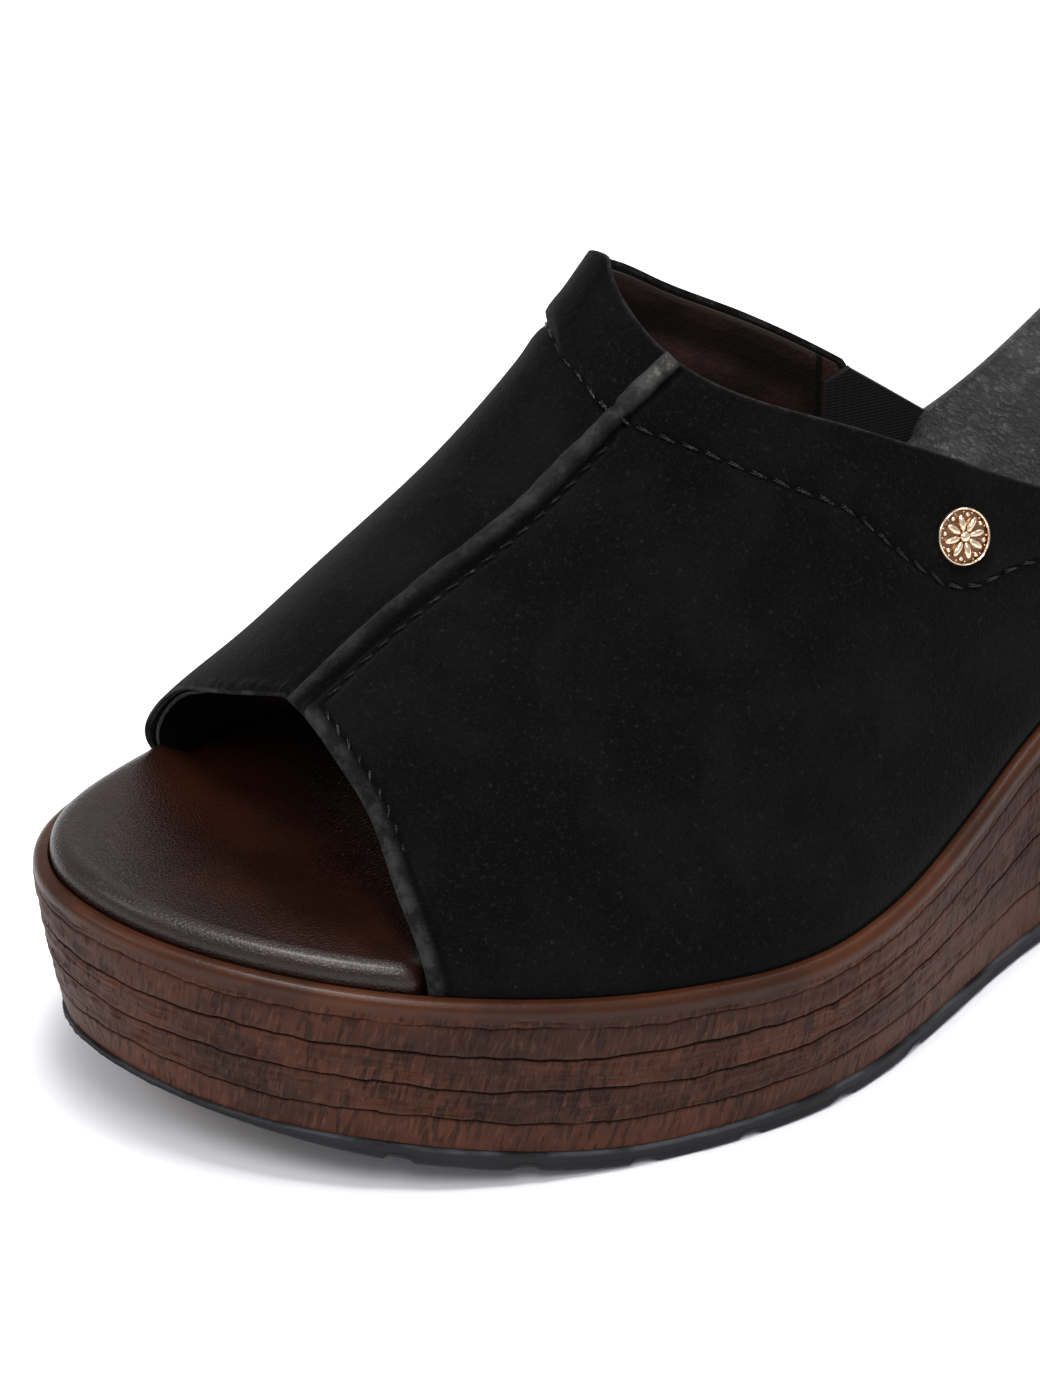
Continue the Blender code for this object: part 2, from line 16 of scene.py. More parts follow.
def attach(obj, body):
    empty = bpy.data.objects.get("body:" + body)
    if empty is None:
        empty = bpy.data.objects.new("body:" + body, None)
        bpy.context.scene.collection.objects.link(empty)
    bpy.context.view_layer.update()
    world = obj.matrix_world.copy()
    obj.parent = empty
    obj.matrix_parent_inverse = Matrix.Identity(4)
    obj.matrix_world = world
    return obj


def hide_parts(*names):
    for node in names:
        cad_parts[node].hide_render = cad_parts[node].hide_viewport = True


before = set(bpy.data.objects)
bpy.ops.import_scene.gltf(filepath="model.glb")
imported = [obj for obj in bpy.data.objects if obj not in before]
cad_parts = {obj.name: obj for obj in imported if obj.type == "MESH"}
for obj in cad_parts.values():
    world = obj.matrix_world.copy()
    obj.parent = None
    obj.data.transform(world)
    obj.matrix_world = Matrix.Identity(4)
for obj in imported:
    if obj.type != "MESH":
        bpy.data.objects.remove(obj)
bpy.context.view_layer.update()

# Sizes of the sole unit and the upper
SOLE_LENGTH = 0.2520
HEEL_WIDTH = 0.0620
WAIST_WIDTH = 0.0606
BALL_WIDTH = 0.0910
FOREFOOT_HEIGHT = 0.0253
HEEL_HEIGHT = 0.0660
TOE_SPRING = 0.0118
OUTSOLE_THICKNESS = 0.0032
RIM_WIDTH = 0.0021
RIM_ROUND = 0.0015
RECESS_DEPTH = 0.0030
SIDE_TAPER = 0.0017
TOE_TAPER = 0.0035
INSOLE_RISE = 0.0034
INSOLE_ROUND = 0.0026
INSOLE_DISH = 0.0014
HEEL_PAD = 0.0006
INSOLE_SPLIT = 0.56
INSTEP_HEIGHT = 0.0800
CREST_ROUND = 0.22
PANEL_END = 0.442
GORE_TOP = 0.9440
GORE_DROP = 0.0015
GORE_TUCK = 0.4060
OUTSOLE_ROUND = 0.0004
CHANNEL_WIDTH = 0.0028
CHANNEL_DEPTH = 0.0011
CHANNELS = (0.18, 0.24, 0.30, 0.60, 0.66, 0.72, 0.78, 0.84, 0.90)
GAP = 0.0003
OUTER_WALL = 0.0015
INNER_WALL = 0.0008
MM = 0.001

OUTLINE = np.array((
    # along, width, outer share, inner share
    (0.000, HEEL_WIDTH, 0.000, 0.000),
    (0.025, HEEL_WIDTH, 0.323, 0.323),
    (0.100, HEEL_WIDTH, 0.490, 0.484),
    (0.220, HEEL_WIDTH, 0.524, 0.484),
    (0.360, WAIST_WIDTH, 0.543, 0.390),
    (0.500, BALL_WIDTH, 0.413, 0.348),
    (0.650, BALL_WIDTH, 0.541, 0.441),
    (0.760, BALL_WIDTH, 0.519, 0.461),
    (0.880, BALL_WIDTH, 0.396, 0.377),
    (0.965, BALL_WIDTH, 0.186, 0.264),
    (1.000, BALL_WIDTH, -0.078, 0.078),
))
PROFILE = np.array((
    # along, share of the wedge, share of the toe spring, underside's share of it
    (0.00, 1.000, 0.000, 0.00),
    (0.15, 0.975, 0.000, 0.00),
    (0.30, 0.762, 0.000, 0.00),
    (0.42, 0.435, 0.000, 0.00),
    (0.50, 0.256, 0.000, 0.00),
    (0.56, 0.118, 0.000, 0.00),
    (0.62, 0.030, 0.000, 0.00),
    (0.68, 0.000, 0.000, 0.00),
    (0.76, 0.000, 0.127, 0.00),
    (0.88, 0.000, 0.525, 0.34),
    (1.00, 0.000, 0.950, 1.00),
))
LAST = np.array((
    # along, rise, crest, outer fullness, inner fullness
    (0.381, 1.139, -0.2123, 1.38, 2.09),
    (0.480, 1.056, -0.2073, 1.36, 2.02),
    (0.560, 0.985, -0.1994, 1.29, 1.73),
    (0.639, 0.794, -0.1796, 1.26, 1.55),
    (0.718, 0.600, -0.1379, 1.31, 1.58),
    (0.798, 0.435, -0.1082, 1.37, 1.65),
    (0.877, 0.239, -0.0764, 1.43, 1.74),
))
EDGES = np.array((
    # turn, toe opening's along, collar's along
    (0.00, 0.881, 0.341),
    (0.08, 0.880, 0.404),
    (0.14, 0.878, 0.469),
    (0.21, 0.874, 0.537),
    (0.28, 0.867, 0.594),
    (0.35, 0.864, 0.628),
    (0.42, 0.861, 0.633),
    (0.46, 0.860, 0.6290),
    (0.50, 0.861, 0.6240),
    (0.55, 0.866, 0.6224),
    (0.60, 0.871, 0.6207),
    (0.65, 0.874, 0.6135),
    (0.70, 0.875, 0.6000),
    (0.75, 0.8735, 0.5790),
    (0.80, 0.8745, 0.5530),
    (0.90, 0.8780, 0.481),
    (1.00, 0.8710, 0.387),
))
SEAM = np.array(((0.0, 0.455), (0.3, 0.427), (0.6, 0.400), (0.8, 0.386), (1.0, 0.362)))

# The collar's row of stitches: along and turn, from the outer quarter over to the inner.
COLLAR_STITCHES = (
    (0.400, 0.062), (0.440, 0.090), (0.479, 0.1105), (0.498, 0.1205), (0.512, 0.127),
    (0.521, 0.1315), (0.531, 0.139), (0.542, 0.150), (0.550, 0.162), (0.5606, 0.178),
    (0.570, 0.1945), (0.5846, 0.222), (0.596, 0.238), (0.615, 0.266), (0.625, 0.282),
    (0.6414, 0.3135), (0.6493, 0.330), (0.6616, 0.3626), (0.6669, 0.401), (0.6655, 0.425),
    (0.6635, 0.480), (0.6614, 0.527), (0.6499, 0.6345), (0.628, 0.72), (0.590, 0.80),
    (0.535, 0.88), (0.500, 0.925),
)
BADGE_PLACE = (0.5270, 0.1605)
BADGE_LEAN = (0.0, -0.10, 0.02)
CORNER_TURN = 0.712


class Smooth:
    """A natural cubic through a table's points, held level beyond its ends."""

    def __init__(self, xs, ys):
        self.xs, self.ys = np.asarray(xs, float), np.asarray(ys, float)
        n, steps = len(self.xs), np.diff(self.xs)
        matrix, right = np.eye(n), np.zeros(n)
        for k in range(1, n - 1):
            matrix[k, k - 1 : k + 2] = steps[k - 1], 2 * (steps[k - 1] + steps[k]), steps[k]
            slopes = np.diff(self.ys[k - 1 : k + 2]) / steps[k - 1 : k + 1]
            right[k] = 6 * (slopes[1] - slopes[0])
        self.bend = np.linalg.solve(matrix, right)

    def __call__(self, x):
        x = np.clip(x, self.xs[0], self.xs[-1])
        k = np.clip(np.searchsorted(self.xs, x, side="right") - 1, 0, len(self.xs) - 2)
        step = self.xs[k + 1] - self.xs[k]
        a, b = self.xs[k + 1] - x, x - self.xs[k]
        bend, following = self.bend[k], self.bend[k + 1]
        curve = (bend * a**3 + following * b**3) / (6 * step)
        start = (self.ys[k] / step - bend * step / 6) * a
        return curve + start + (self.ys[k + 1] / step - following * step / 6) * b


class Steady:
    """A cubic through a table's points that never runs past them."""

    def __init__(self, xs, ys):
        self.xs, self.ys = np.asarray(xs, float), np.asarray(ys, float)
        self.steps = np.diff(self.xs)
        slopes = np.diff(self.ys) / self.steps
        self.tangents = np.r_[slopes[0], np.zeros(len(self.xs) - 2), slopes[-1]]
        for k in range(1, len(self.xs) - 1):
            if slopes[k - 1] * slopes[k] > 0:
                w1 = 2 * self.steps[k] + self.steps[k - 1]
                w2 = self.steps[k] + 2 * self.steps[k - 1]
                self.tangents[k] = (w1 + w2) / (w1 / slopes[k - 1] + w2 / slopes[k])

    def __call__(self, x):
        x = np.clip(x, self.xs[0], self.xs[-1])
        k = np.clip(np.searchsorted(self.xs, x, side="right") - 1, 0, len(self.steps) - 1)
        t = (x - self.xs[k]) / self.steps[k]
        rise = self.ys[k] * (1 + 2 * t) + self.tangents[k] * self.steps[k] * t
        fall = self.ys[k + 1] * (3 - 2 * t) + self.tangents[k + 1] * self.steps[k] * (t - 1)
        return rise * (1 - t) ** 2 + fall * t**2


def smoothstep(x, low, high):
    t = np.clip((x - low) / (high - low), 0, 1)
    return t * t * (3 - 2 * t)


def ripple(x, seed, count=5, base=1.0):
    """A smooth, wandering line between about -1 and 1, always the same for a seed."""
    dice = np.random.default_rng(seed)
    total = np.zeros_like(np.asarray(x, float))
    for k in range(count):
        pitch = base * 1.7**k * dice.uniform(0.8, 1.25)
        total = total + np.sin(pitch * x + dice.uniform(0, math.tau)) / 1.35**k
    return total / 2.6


def along_of(y):
    return np.clip(0.5 - y / SOLE_LENGTH, 0, 1)


def y_of(along):
    return (0.5 - along) * SOLE_LENGTH


# The form of sole and last

def outline_angle(along):
    return np.arccos(np.clip(1 - 2 * np.asarray(along, float), -1, 1))


outer_half = Smooth(outline_angle(OUTLINE[:, 0]), OUTLINE[:, 1] * OUTLINE[:, 2])
inner_half = Smooth(outline_angle(OUTLINE[:, 0]), OUTLINE[:, 1] * OUTLINE[:, 3])
wedge_share = Steady(PROFILE[:, 0], PROFILE[:, 1])
spring_share = Steady(PROFILE[:, 0], PROFILE[:, 2])
lift_share = Steady(PROFILE[:, 0], PROFILE[:, 3])
last_rise = Smooth(LAST[:, 0], LAST[:, 1] * INSTEP_HEIGHT)
last_crest = Smooth(LAST[:, 0], LAST[:, 2] * BALL_WIDTH)
outer_fullness = Smooth(LAST[:, 0], LAST[:, 3])
inner_fullness = Smooth(LAST[:, 0], LAST[:, 4])
toe_edge = Smooth(EDGES[:, 0], EDGES[:, 1])
collar_edge = Smooth(EDGES[:, 0], EDGES[:, 2])
seam_turn = Smooth(SEAM[:, 0], SEAM[:, 1])


def rim_x(along, side):
    angle = outline_angle(along)
    return np.where(side > 0, outer_half(angle), -inner_half(angle))


def rim_height(along):
    wedge = (HEEL_HEIGHT - FOREFOOT_HEIGHT) * wedge_share(along)
    return FOREFOOT_HEIGHT + wedge + TOE_SPRING * spring_share(along)


def underside(along):
    return TOE_SPRING * lift_share(along)


def outline(turn_angle, inset=0.0):
    """Plan point of the rim's outline at an angle: 0 heel, then outer side, pi toe."""

    def place(angle):
        side = np.where(np.sin(angle) >= 0, 1, -1)
        along = (1 - np.cos(angle)) / 2
        return np.stack([rim_x(along, side), y_of(along)], -1)

    step = 1e-3
    tangent = place(turn_angle + step) - place(turn_angle - step)
    tangent /= np.linalg.norm(tangent, axis=-1, keepdims=True)
    inwards = np.stack([tangent[..., 1], -tangent[..., 0]], -1)
    return place(turn_angle) + inwards * np.asarray(inset)[..., None]


def mirrored_angles(count):
    """Angles that lie at the same places along the sole on both of its sides."""
    return np.linspace(0, math.tau, 2 * count + 1)


def middle_line(along):
    """The line down the middle that a filled face closes on."""
    along = np.clip(along, 0.13, 0.86)
    return np.stack([(rim_x(along, 1) + rim_x(along, -1)) / 2, y_of(along)], -1)


def sole_seam(along):
    """Height at which platform and outsole meet: the rubber thins out under the toe."""
    thin = 1 - 0.62 * smoothstep(along, 0.89, 0.985)
    return underside(along) + OUTSOLE_THICKNESS * thin


def lower_inset(along):
    return SIDE_TAPER + (TOE_TAPER - SIDE_TAPER) * np.clip((along - 0.62) / 0.38, 0, 1) ** 2


def inside_rim(along, side, inset):
    step = 1e-3
    slope = (rim_x(along + step, side) - rim_x(along - step, side)) / (2 * step * SOLE_LENGTH)
    return rim_x(along, side) - side * inset * np.hypot(1, slope)


def flank(along, side):
    fullness = np.where(side > 0, outer_fullness(along), inner_fullness(along))
    foot = inside_rim(along, side, RIM_WIDTH + 0.00045)
    return last_crest(along), foot, last_rise(along), fullness


def flank_rise(across, rise, fullness):
    eased = np.hypot(across, CREST_ROUND) - CREST_ROUND
    eased = np.clip(eased / (math.hypot(1, CREST_ROUND) - CREST_ROUND), 0, 1)
    return rise * (1 - eased**fullness) ** (1 / fullness)


def last_point(along, turn):
    """A point of the upper's outer face. Below 0 and above 1, turn goes down the rim."""
    along, turn = np.broadcast_arrays(np.asarray(along, float), np.asarray(turn, float))
    over = np.clip(turn, 0, 1)
    side = np.where(over < 0.5, 1, -1)
    crest, foot, rise, fullness = flank(along, side)
    across = np.abs(np.cos(math.pi * over)) ** (2 / fullness)
    up = flank_rise(across, rise, fullness)
    down = np.abs(turn - over) * RECESS_DEPTH
    x = crest + (foot - crest) * across
    return np.stack([x, y_of(along), rim_height(along) + up - down], -1)


def last_normal(along, turn):
    along, turn = np.broadcast_arrays(np.asarray(along, float), np.asarray(turn, float))
    step = 2e-3
    over = np.clip(turn, step, 1 - step)
    length = last_point(along + step, over) - last_point(along - step, over)
    round_it = last_point(along, over + step) - last_point(along, over - step)
    normal = np.cross(round_it, length)
    normal[..., 2] *= smoothstep(turn, -0.02, 0.03) * smoothstep(1 - turn, -0.02, 0.03)
    return normal / np.linalg.norm(normal, axis=-1, keepdims=True)


def skin(along, turn, out=0.0):
    """A point of the upper, moved out of its face."""
    return last_point(along, turn) + last_normal(along, turn) * np.asarray(out)[..., None]


# Making of pieces

def field(points, wrap=False, facing=None, **notes):
    """A grid whose corners are moved to the points, an array of rows by columns.

    Facing is the outward direction at the middle of the grid, for one that stays open.
    Notes are attributes, three numbers for each point.
    """
    rows, columns = points.shape[:2]
    bm = bmesh.new()
    bmesh.ops.create_grid(bm, x_segments=columns - 1, y_segments=rows - 1, size=0.5)
    flat = points.reshape(-1, 3)
    layers = {name: bm.verts.layers.float_vector.new(name) for name in notes}
    bm.verts.ensure_lookup_table()
    for number, vert in enumerate(bm.verts):
        vert.co = flat[number]
    for name, values in notes.items():
        listed = values.reshape(-1, 3)
        for number, vert in enumerate(bm.verts):
            vert[layers[name]] = Vector(listed[number])
    if wrap:
        bmesh.ops.remove_doubles(bm, verts=bm.verts, dist=2e-6)
    if facing is not None:
        bm.faces.ensure_lookup_table()
        middle = bm.faces[(rows // 2) * (columns - 1) + columns // 2]
        middle.normal_update()
        if middle.normal.dot(Vector(facing)) < 0:
            bmesh.ops.reverse_faces(bm, faces=bm.faces)
    return bm


def piece(name, bm, finish, body="root", smooth=40):
    """The mesh as a finished object that rides on the sandal."""
    mesh = bpy.data.meshes.new(name)
    bm.to_mesh(mesh)
    bm.free()
    mesh.shade_smooth()
    if smooth:
        mesh.set_sharp_from_angle(angle=math.radians(smooth))
    mesh.materials.append(finish)
    made = bpy.data.objects.new(name, mesh)
    bpy.context.scene.collection.objects.link(made)
    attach(made, body)
    return made


def outward(bm):
    bmesh.ops.recalc_face_normals(bm, faces=bm.faces)
    return bm


def fill_holes(bm):
    bmesh.ops.holes_fill(bm, edges=[e for e in bm.edges if e.is_boundary], sides=0)


# Finishes

class Value:
    """A shader value that can be used in sums."""

    def __init__(self, maker, socket):
        self.maker, self.socket = maker, socket

    def sum(self, operation, one, two):
        return self.maker.node("Math", {"operation": operation}, one, two)

    def __add__(self, other):
        return self.sum("ADD", self, other)

    def __radd__(self, other):
        return self.sum("ADD", other, self)

    def __sub__(self, other):
        return self.sum("SUBTRACT", self, other)

    def __rsub__(self, other):
        return self.sum("SUBTRACT", other, self)

    def __mul__(self, other):
        return self.sum("MULTIPLY", self, other)

    def __rmul__(self, other):
        return self.sum("MULTIPLY", other, self)


class Finish:
    """A material under construction: its shader, and one method that adds any node."""

    def __init__(self, name, **constants):
        self.material = bpy.data.materials.new(name)
        self.material.use_nodes = True
        self.tree = self.material.node_tree
        self.shader = self.tree.nodes["Principled BSDF"]
        for key, value in constants.items():
            self.shader.inputs[key.replace("_", " ")].default_value = value

    def node(self, kind, settings=None, *inputs, out=0, **named):
        made = self.tree.nodes.new("ShaderNode" + kind)
        for key, value in (settings or {}).items():
            setattr(made, key, value)
        usable = [socket for socket in made.inputs if socket.enabled]
        pairs = list(zip(usable, inputs))
        pairs += [(made.inputs[key.replace("_", " ")], value) for key, value in named.items()]
        for socket, value in pairs:
            self.feed(socket, value)
        shown = [socket for socket in made.outputs if socket.enabled]
        return Value(self, made.outputs[out] if isinstance(out, str) else shown[out])

    def feed(self, socket, value):
        if isinstance(value, Value):
            self.tree.links.new(value.socket, socket)
        elif value is not None:
            socket.default_value = value

    def set(self, **values):
        for key, value in values.items():
            self.feed(self.shader.inputs[key.replace("_", " ")], value)
        return self.material

    def place(self, scale=(1, 1, 1), turn=(0, 0, 0)):
        here = self.node("TexCoord", out="Object")
        return self.node("Mapping", {}, here, Scale=scale, Rotation=turn)

    def noise(self, scale, vector=None, detail=3.0, rough=0.55, warp=0.0):
        vector = vector or self.node("TexCoord", out="Object")
        return self.node(
            "TexNoise", {}, Vector=vector, Scale=scale, Detail=detail, Roughness=rough,
            Distortion=warp, out="Fac",
        )

    def cells(self, scale, vector=None, feature="F1"):
        vector = vector or self.node("TexCoord", out="Object")
        settings = {"feature": feature}
        return self.node("TexVoronoi", settings, Vector=vector, Scale=scale, out="Distance")

    def swirl(self, scale, reach):
        """Wanders a place about, so that a pattern loses its regular look."""
        wander = self.node("TexNoise", {}, Vector=self.node("TexCoord", out="Object"),
                           Scale=scale, Detail=2.0, out="Color")
        return self.node("VectorMath", {"operation": "SCALE"}, wander, Scale=reach)

    def lay(self, name="lay"):
        """The three numbers that a piece's mesh carries at each point."""
        read = self.node("Attribute", {"attribute_name": name}, out="Vector")
        split = self.node("SeparateXYZ", {}, read)
        return [Value(self, socket) for socket in split.socket.node.outputs]

    def between(self, value, low, high):
        return self.node(
            "MapRange", {"interpolation_type": "SMOOTHSTEP"}, Value=value,
            **{"From_Min": low, "From_Max": high}, out="Result",
        )

    def blend(self, share, one, two):
        one, two = [(*c, 1.0) if isinstance(c, tuple) else c for c in (one, two)]
        made = self.tree.nodes.new("ShaderNodeMix")
        made.data_type = "RGBA"
        self.feed(made.inputs[0], share)
        self.feed(made.inputs[6], one)
        self.feed(made.inputs[7], two)
        return Value(self, made.outputs[2])

    def bump(self, height, depth, strength=1.0, normal=None):
        made = self.node("Bump", {}, Strength=strength, Distance=depth, Height=height)
        if normal is not None:
            self.feed(made.socket.node.inputs["Normal"], normal)
        return made


def nubuck(name, lift=1.0):
    """Black nubuck: a deep matt nap, clouded where it is brushed, paler on worn edges and ridge
    tops, partly as a painted highlight, with painted shade in the stitch creases. A lift above 1
    gives a paler copy, partly worn nap and partly a painted highlight.
    """
    f = Finish(name, Roughness=0.95, Specular_IOR_Level=0.03, Sheen_Weight=0.045,
               Sheen_Roughness=0.45)
    stitch, edge, raw_wear_and_highlight = f.lay()
    cloud = f.noise(60, detail=4, rough=0.62, warp=0.4)
    nap = f.noise(2400, detail=3, rough=0.7)
    tips = (0.011 * lift, 0.0107 * lift, 0.0103 * lift)
    base = f.blend(f.between(cloud, 0.38, 0.68), (0.0016 * lift,) * 3, (0.0034 * lift,) * 3)
    base = f.blend(f.between(nap, 0.50, 0.78) * 0.5, base, tips)
    fleck = f.between(f.noise(1300, detail=4, rough=0.75), 0.58, 0.70)
    base = f.blend(fleck * 0.5, base, (0.017, 0.0167, 0.0162))
    patch = f.between(f.noise(260, detail=4, rough=0.65), 0.42, 0.62)
    # Paler along the panels' edges: partly worn nap, partly a painted highlight on the folded edges.
    edge_wear_and_highlight = f.between(edge, 2.8, 0.5) * (0.20 + 0.80 * patch)
    base = f.blend(edge_wear_and_highlight * 0.85, base, (0.030, 0.0295, 0.0288))
    # Paler where the third note is set: raw panel edges, and the seam ridge's worn top and end,
    # which also carry a painted highlight.
    base = f.blend(raw_wear_and_highlight * (0.35 + 0.65 * patch), base, (0.040, 0.039, 0.038))
    raw = f.between(f.noise(1100, detail=4, rough=0.7), 0.50, 0.62)
    base = f.blend(f.between(raw_wear_and_highlight, 0.9, 1.7) * raw, base, (0.085, 0.083, 0.079))
    # Painted shade: darker in the creases of the stitch rows and along the foot of the seam ridge.
    base = f.blend(f.between(stitch, 0.75, 0.1) * 0.85, base, (0.0008, 0.0008, 0.0009))
    fuzz = f.bump(nap, 0.00022, 0.75)
    grain = f.bump(f.noise(520, detail=5, rough=0.65), 0.00035, 0.4 + 0.35 * (lift - 1), fuzz)
    return f.set(Base_Color=base, Normal=grain)


def lining_leather():
    """Brown lining, with painted shade under the rim and in the toe, and dark along the seam at its
    rear end.
    """
    f = Finish("lining_leather", Specular_IOR_Level=0.2)
    rear, edge, shade = f.lay()
    cloud = f.noise(95, detail=4, rough=0.6)
    base = f.blend(f.between(cloud, 0.35, 0.7), (0.0105, 0.0046, 0.0040), (0.031, 0.0118, 0.0098))
    # Painted shade: a dark band below the collar's edge.
    low = f.between(edge, 1.6, 3.0) * f.between(edge, 8.5, 5.0)
    base = f.blend(low * 0.75, base, (0.0034, 0.0020, 0.0017))
    base = f.blend(f.between(edge, 0.9, 0.35), base, (0.033, 0.022, 0.018))
    base = f.blend(f.between(rear, 4.6, 4.0) * 0.6, base, (0.034, 0.0110, 0.0095))
    thread = f.between(rear, 3.7, 4.0) * f.between(rear, 4.9, 4.6)
    base = f.blend(thread, base, (0.0022, 0.0014, 0.0013))
    # Painted shade: near black inside the toe.
    base = f.blend(f.between(shade, 0.0, 1.0), base, (0.0012, 0.0009, 0.0009))
    base = f.blend(f.between(shade, -0.2, -1.0), base, (0.26, 0.235, 0.21))
    pores = f.cells(1500)
    rough = 0.5 + cloud * 0.25
    return f.set(Base_Color=base, Roughness=rough, Normal=f.bump(pores, 0.00012, 0.5))


def wood_finish():
    """Moulded layers, stained red-brown, with dark cut lines and slanted chisel strokes."""
    f = Finish("layered_wood", Specular_IOR_Level=0.09, Coat_Roughness=0.30)
    groove, layer, rim = f.lay()
    # How far round the side of the platform a point lies from the heel, and how far down
    round_it, down, _ = f.lay("way")
    lean = round_it - down * 0.22
    spot = f.node("CombineXYZ", {}, lean * 1250.0, down * 200.0, layer * 7.3)
    strokes = f.noise(1.0, spot, detail=2, rough=0.45)
    cluster = f.noise(105, detail=3, rough=0.6)
    fine_spot = f.node("CombineXYZ", {}, lean * 2300.0, down * 300.0, layer * 3.1)
    streak = f.noise(1.0, fine_spot, detail=3)
    cut = f.between(strokes, 0.53, 0.63) * (0.30 + 0.70 * f.between(cluster, 0.40, 0.58))
    stain = f.noise(38, f.place(scale=(1, 1, 1.7)), detail=5, rough=0.6, warp=0.6)
    tone = f.noise(6, f.node("CombineXYZ", {}, layer * 0.37, layer * 0.11, layer), detail=1)
    mix = f.between(stain * 0.7 + tone * 0.3, 0.36, 0.62)
    base = f.blend(mix, (0.0245, 0.0092, 0.0060), (0.061, 0.0190, 0.0090))
    base = f.blend(f.between(streak, 0.48, 0.75) * 0.55, base, (0.105, 0.041, 0.024))
    base = f.blend(cut * (1.0 - rim) * 0.66, base, (0.0125, 0.0062, 0.0052))
    rim_tone = f.blend(f.between(stain, 0.35, 0.7), (0.026, 0.0078, 0.0032), (0.060, 0.0170, 0.0058))
    base = f.blend(f.between(rim, 0.05, 0.75), base, rim_tone)
    base = f.blend(f.between(groove, 0.15, 0.75) * 0.9, base, (0.0052, 0.0028, 0.0030))
    rough = 0.52 - 0.08 * mix - rim * 0.14
    chisel = f.bump(1.0 - cut * (1.0 - rim), 0.00030, 0.8)
    skinned = f.bump(streak * (1.0 - rim), 0.00018, 0.5, chisel)
    sparkle = f.bump(f.noise(1900, detail=3, rough=0.65), 0.00020, 0.55, skinned)
    waves = f.bump(f.noise(130, detail=3), 0.0005, 0.25, sparkle)
    return f.set(Base_Color=base, Roughness=rough, Coat_Weight=rim * 0.20, Normal=waves)


def rubber_finish():
    f = Finish("outsole_rubber", Specular_IOR_Level=0.18)
    top, _, _ = f.lay()
    cloud = f.noise(90, detail=4)
    base = f.blend(f.between(cloud, 0.3, 0.7), (0.0070, 0.0071, 0.0080), (0.0120, 0.0122, 0.0138))
    # Painted highlight: a paler line along the outsole's top edge.
    base = f.blend(top * f.between(cloud, 0.36, 0.60) * 0.8, base, (0.060, 0.063, 0.070))
    grit = f.noise(1800, detail=2)
    return f.set(Base_Color=base, Roughness=0.5 + cloud * 0.2, Normal=f.bump(grit, 0.00008, 0.6))


def toe_leather():
    """Brown grained leather, its rolled edge polished, with a fine wrinkled grain."""
    f = Finish("brown_insole_leather", Specular_IOR_Level=0.27, Coat_Roughness=0.26)
    _, edge, _ = f.lay()
    cloud = f.noise(45, detail=4, warp=0.3)
    base = f.blend(f.between(cloud, 0.35, 0.7), (0.0080, 0.0017, 0.0006), (0.0170, 0.0040, 0.0012))
    rolled = f.between(edge, 5.0, 1.5)
    base = f.blend(rolled * 0.5, base, (0.010, 0.0040, 0.0026))
    wander = f.node("VectorMath", {"operation": "ADD"}, f.place(), f.swirl(300, 0.0008))
    pebble = f.between(f.cells(1650, wander, feature="DISTANCE_TO_EDGE"), 0.0, 0.30)
    fine = f.noise(2300, detail=4, rough=0.62)
    rough = 0.24 + cloud * 0.08 + (1.0 - pebble) * 0.08
    grain = f.bump(pebble, 0.00008, 0.5)
    grain = f.bump(fine, 0.00014, 0.55, grain)
    return f.set(Base_Color=base, Roughness=rough, Coat_Weight=rolled * 0.22, Normal=grain)


def heel_leather():
    """Dark grey leather with a coarse, drawn grain."""
    f = Finish("grey_insole_leather", Specular_IOR_Level=0.45)
    cloud = f.noise(85, detail=4, rough=0.65)
    drawn = f.place(scale=(0.38, 1, 1), turn=(0, 0, 0.5))
    spot = f.node("VectorMath", {"operation": "ADD"}, drawn, f.swirl(420, 0.0013))
    wrinkle = f.between(f.noise(1500, spot, detail=5, rough=0.68, warp=0.5), 0.36, 0.62)
    pore = f.between(f.cells(1900, spot, feature="DISTANCE_TO_EDGE"), 0.0, 0.25)
    smooth = f.between(f.noise(170, detail=3), 0.45, 0.62)
    base = f.blend(f.between(cloud, 0.40, 0.62), (0.0190, 0.0190, 0.0195), (0.0480, 0.0480, 0.0485))
    base = f.blend((1.0 - wrinkle) * (0.85 - 0.35 * smooth), base, (0.0050, 0.0050, 0.0052))
    grain = f.bump(wrinkle, 0.00045, 0.85)
    grain = f.bump(pore, 0.00014, 0.4, grain)
    rough = 0.36 + (1.0 - wrinkle) * 0.22
    return f.set(Base_Color=base, Roughness=rough, Normal=grain)


def elastic_finish():
    f = Finish("black_elastic", Roughness=0.85, Specular_IOR_Level=0.1, Sheen_Weight=0.06)
    rib, _, _ = f.lay()
    weave = f.node("TexWave", {"bands_direction": "Z"}, Scale=620.0, Distortion=0.4,
                   Vector=f.node("TexCoord", out="Object"), out="Fac")
    base = f.blend(rib, (0.0055, 0.0055, 0.006), (0.0085, 0.0083, 0.009))
    base = f.blend(weave * 0.35, base, (0.012, 0.012, 0.013))
    return f.set(Base_Color=base, Normal=f.bump(weave, 0.00012, 0.5))


def thread_finish():
    f = Finish("black_thread", Roughness=0.30, Specular_IOR_Level=0.30)
    twist = f.node("TexWave", {"bands_direction": "DIAGONAL"}, Scale=1500.0, Distortion=0.5,
                   Vector=f.node("TexCoord", out="Object"), out="Fac")
    # Painted highlight: small pale glints on the thread.
    painted_glint = f.between(f.noise(1700, detail=2), 0.54, 0.66)
    base = f.blend(twist, (0.0018, 0.0018, 0.0020), (0.0065, 0.0064, 0.0062))
    base = f.blend(painted_glint * 0.8, base, (0.030, 0.029, 0.028))
    return f.set(Base_Color=base, Normal=f.bump(twist, 0.00015, 0.8))


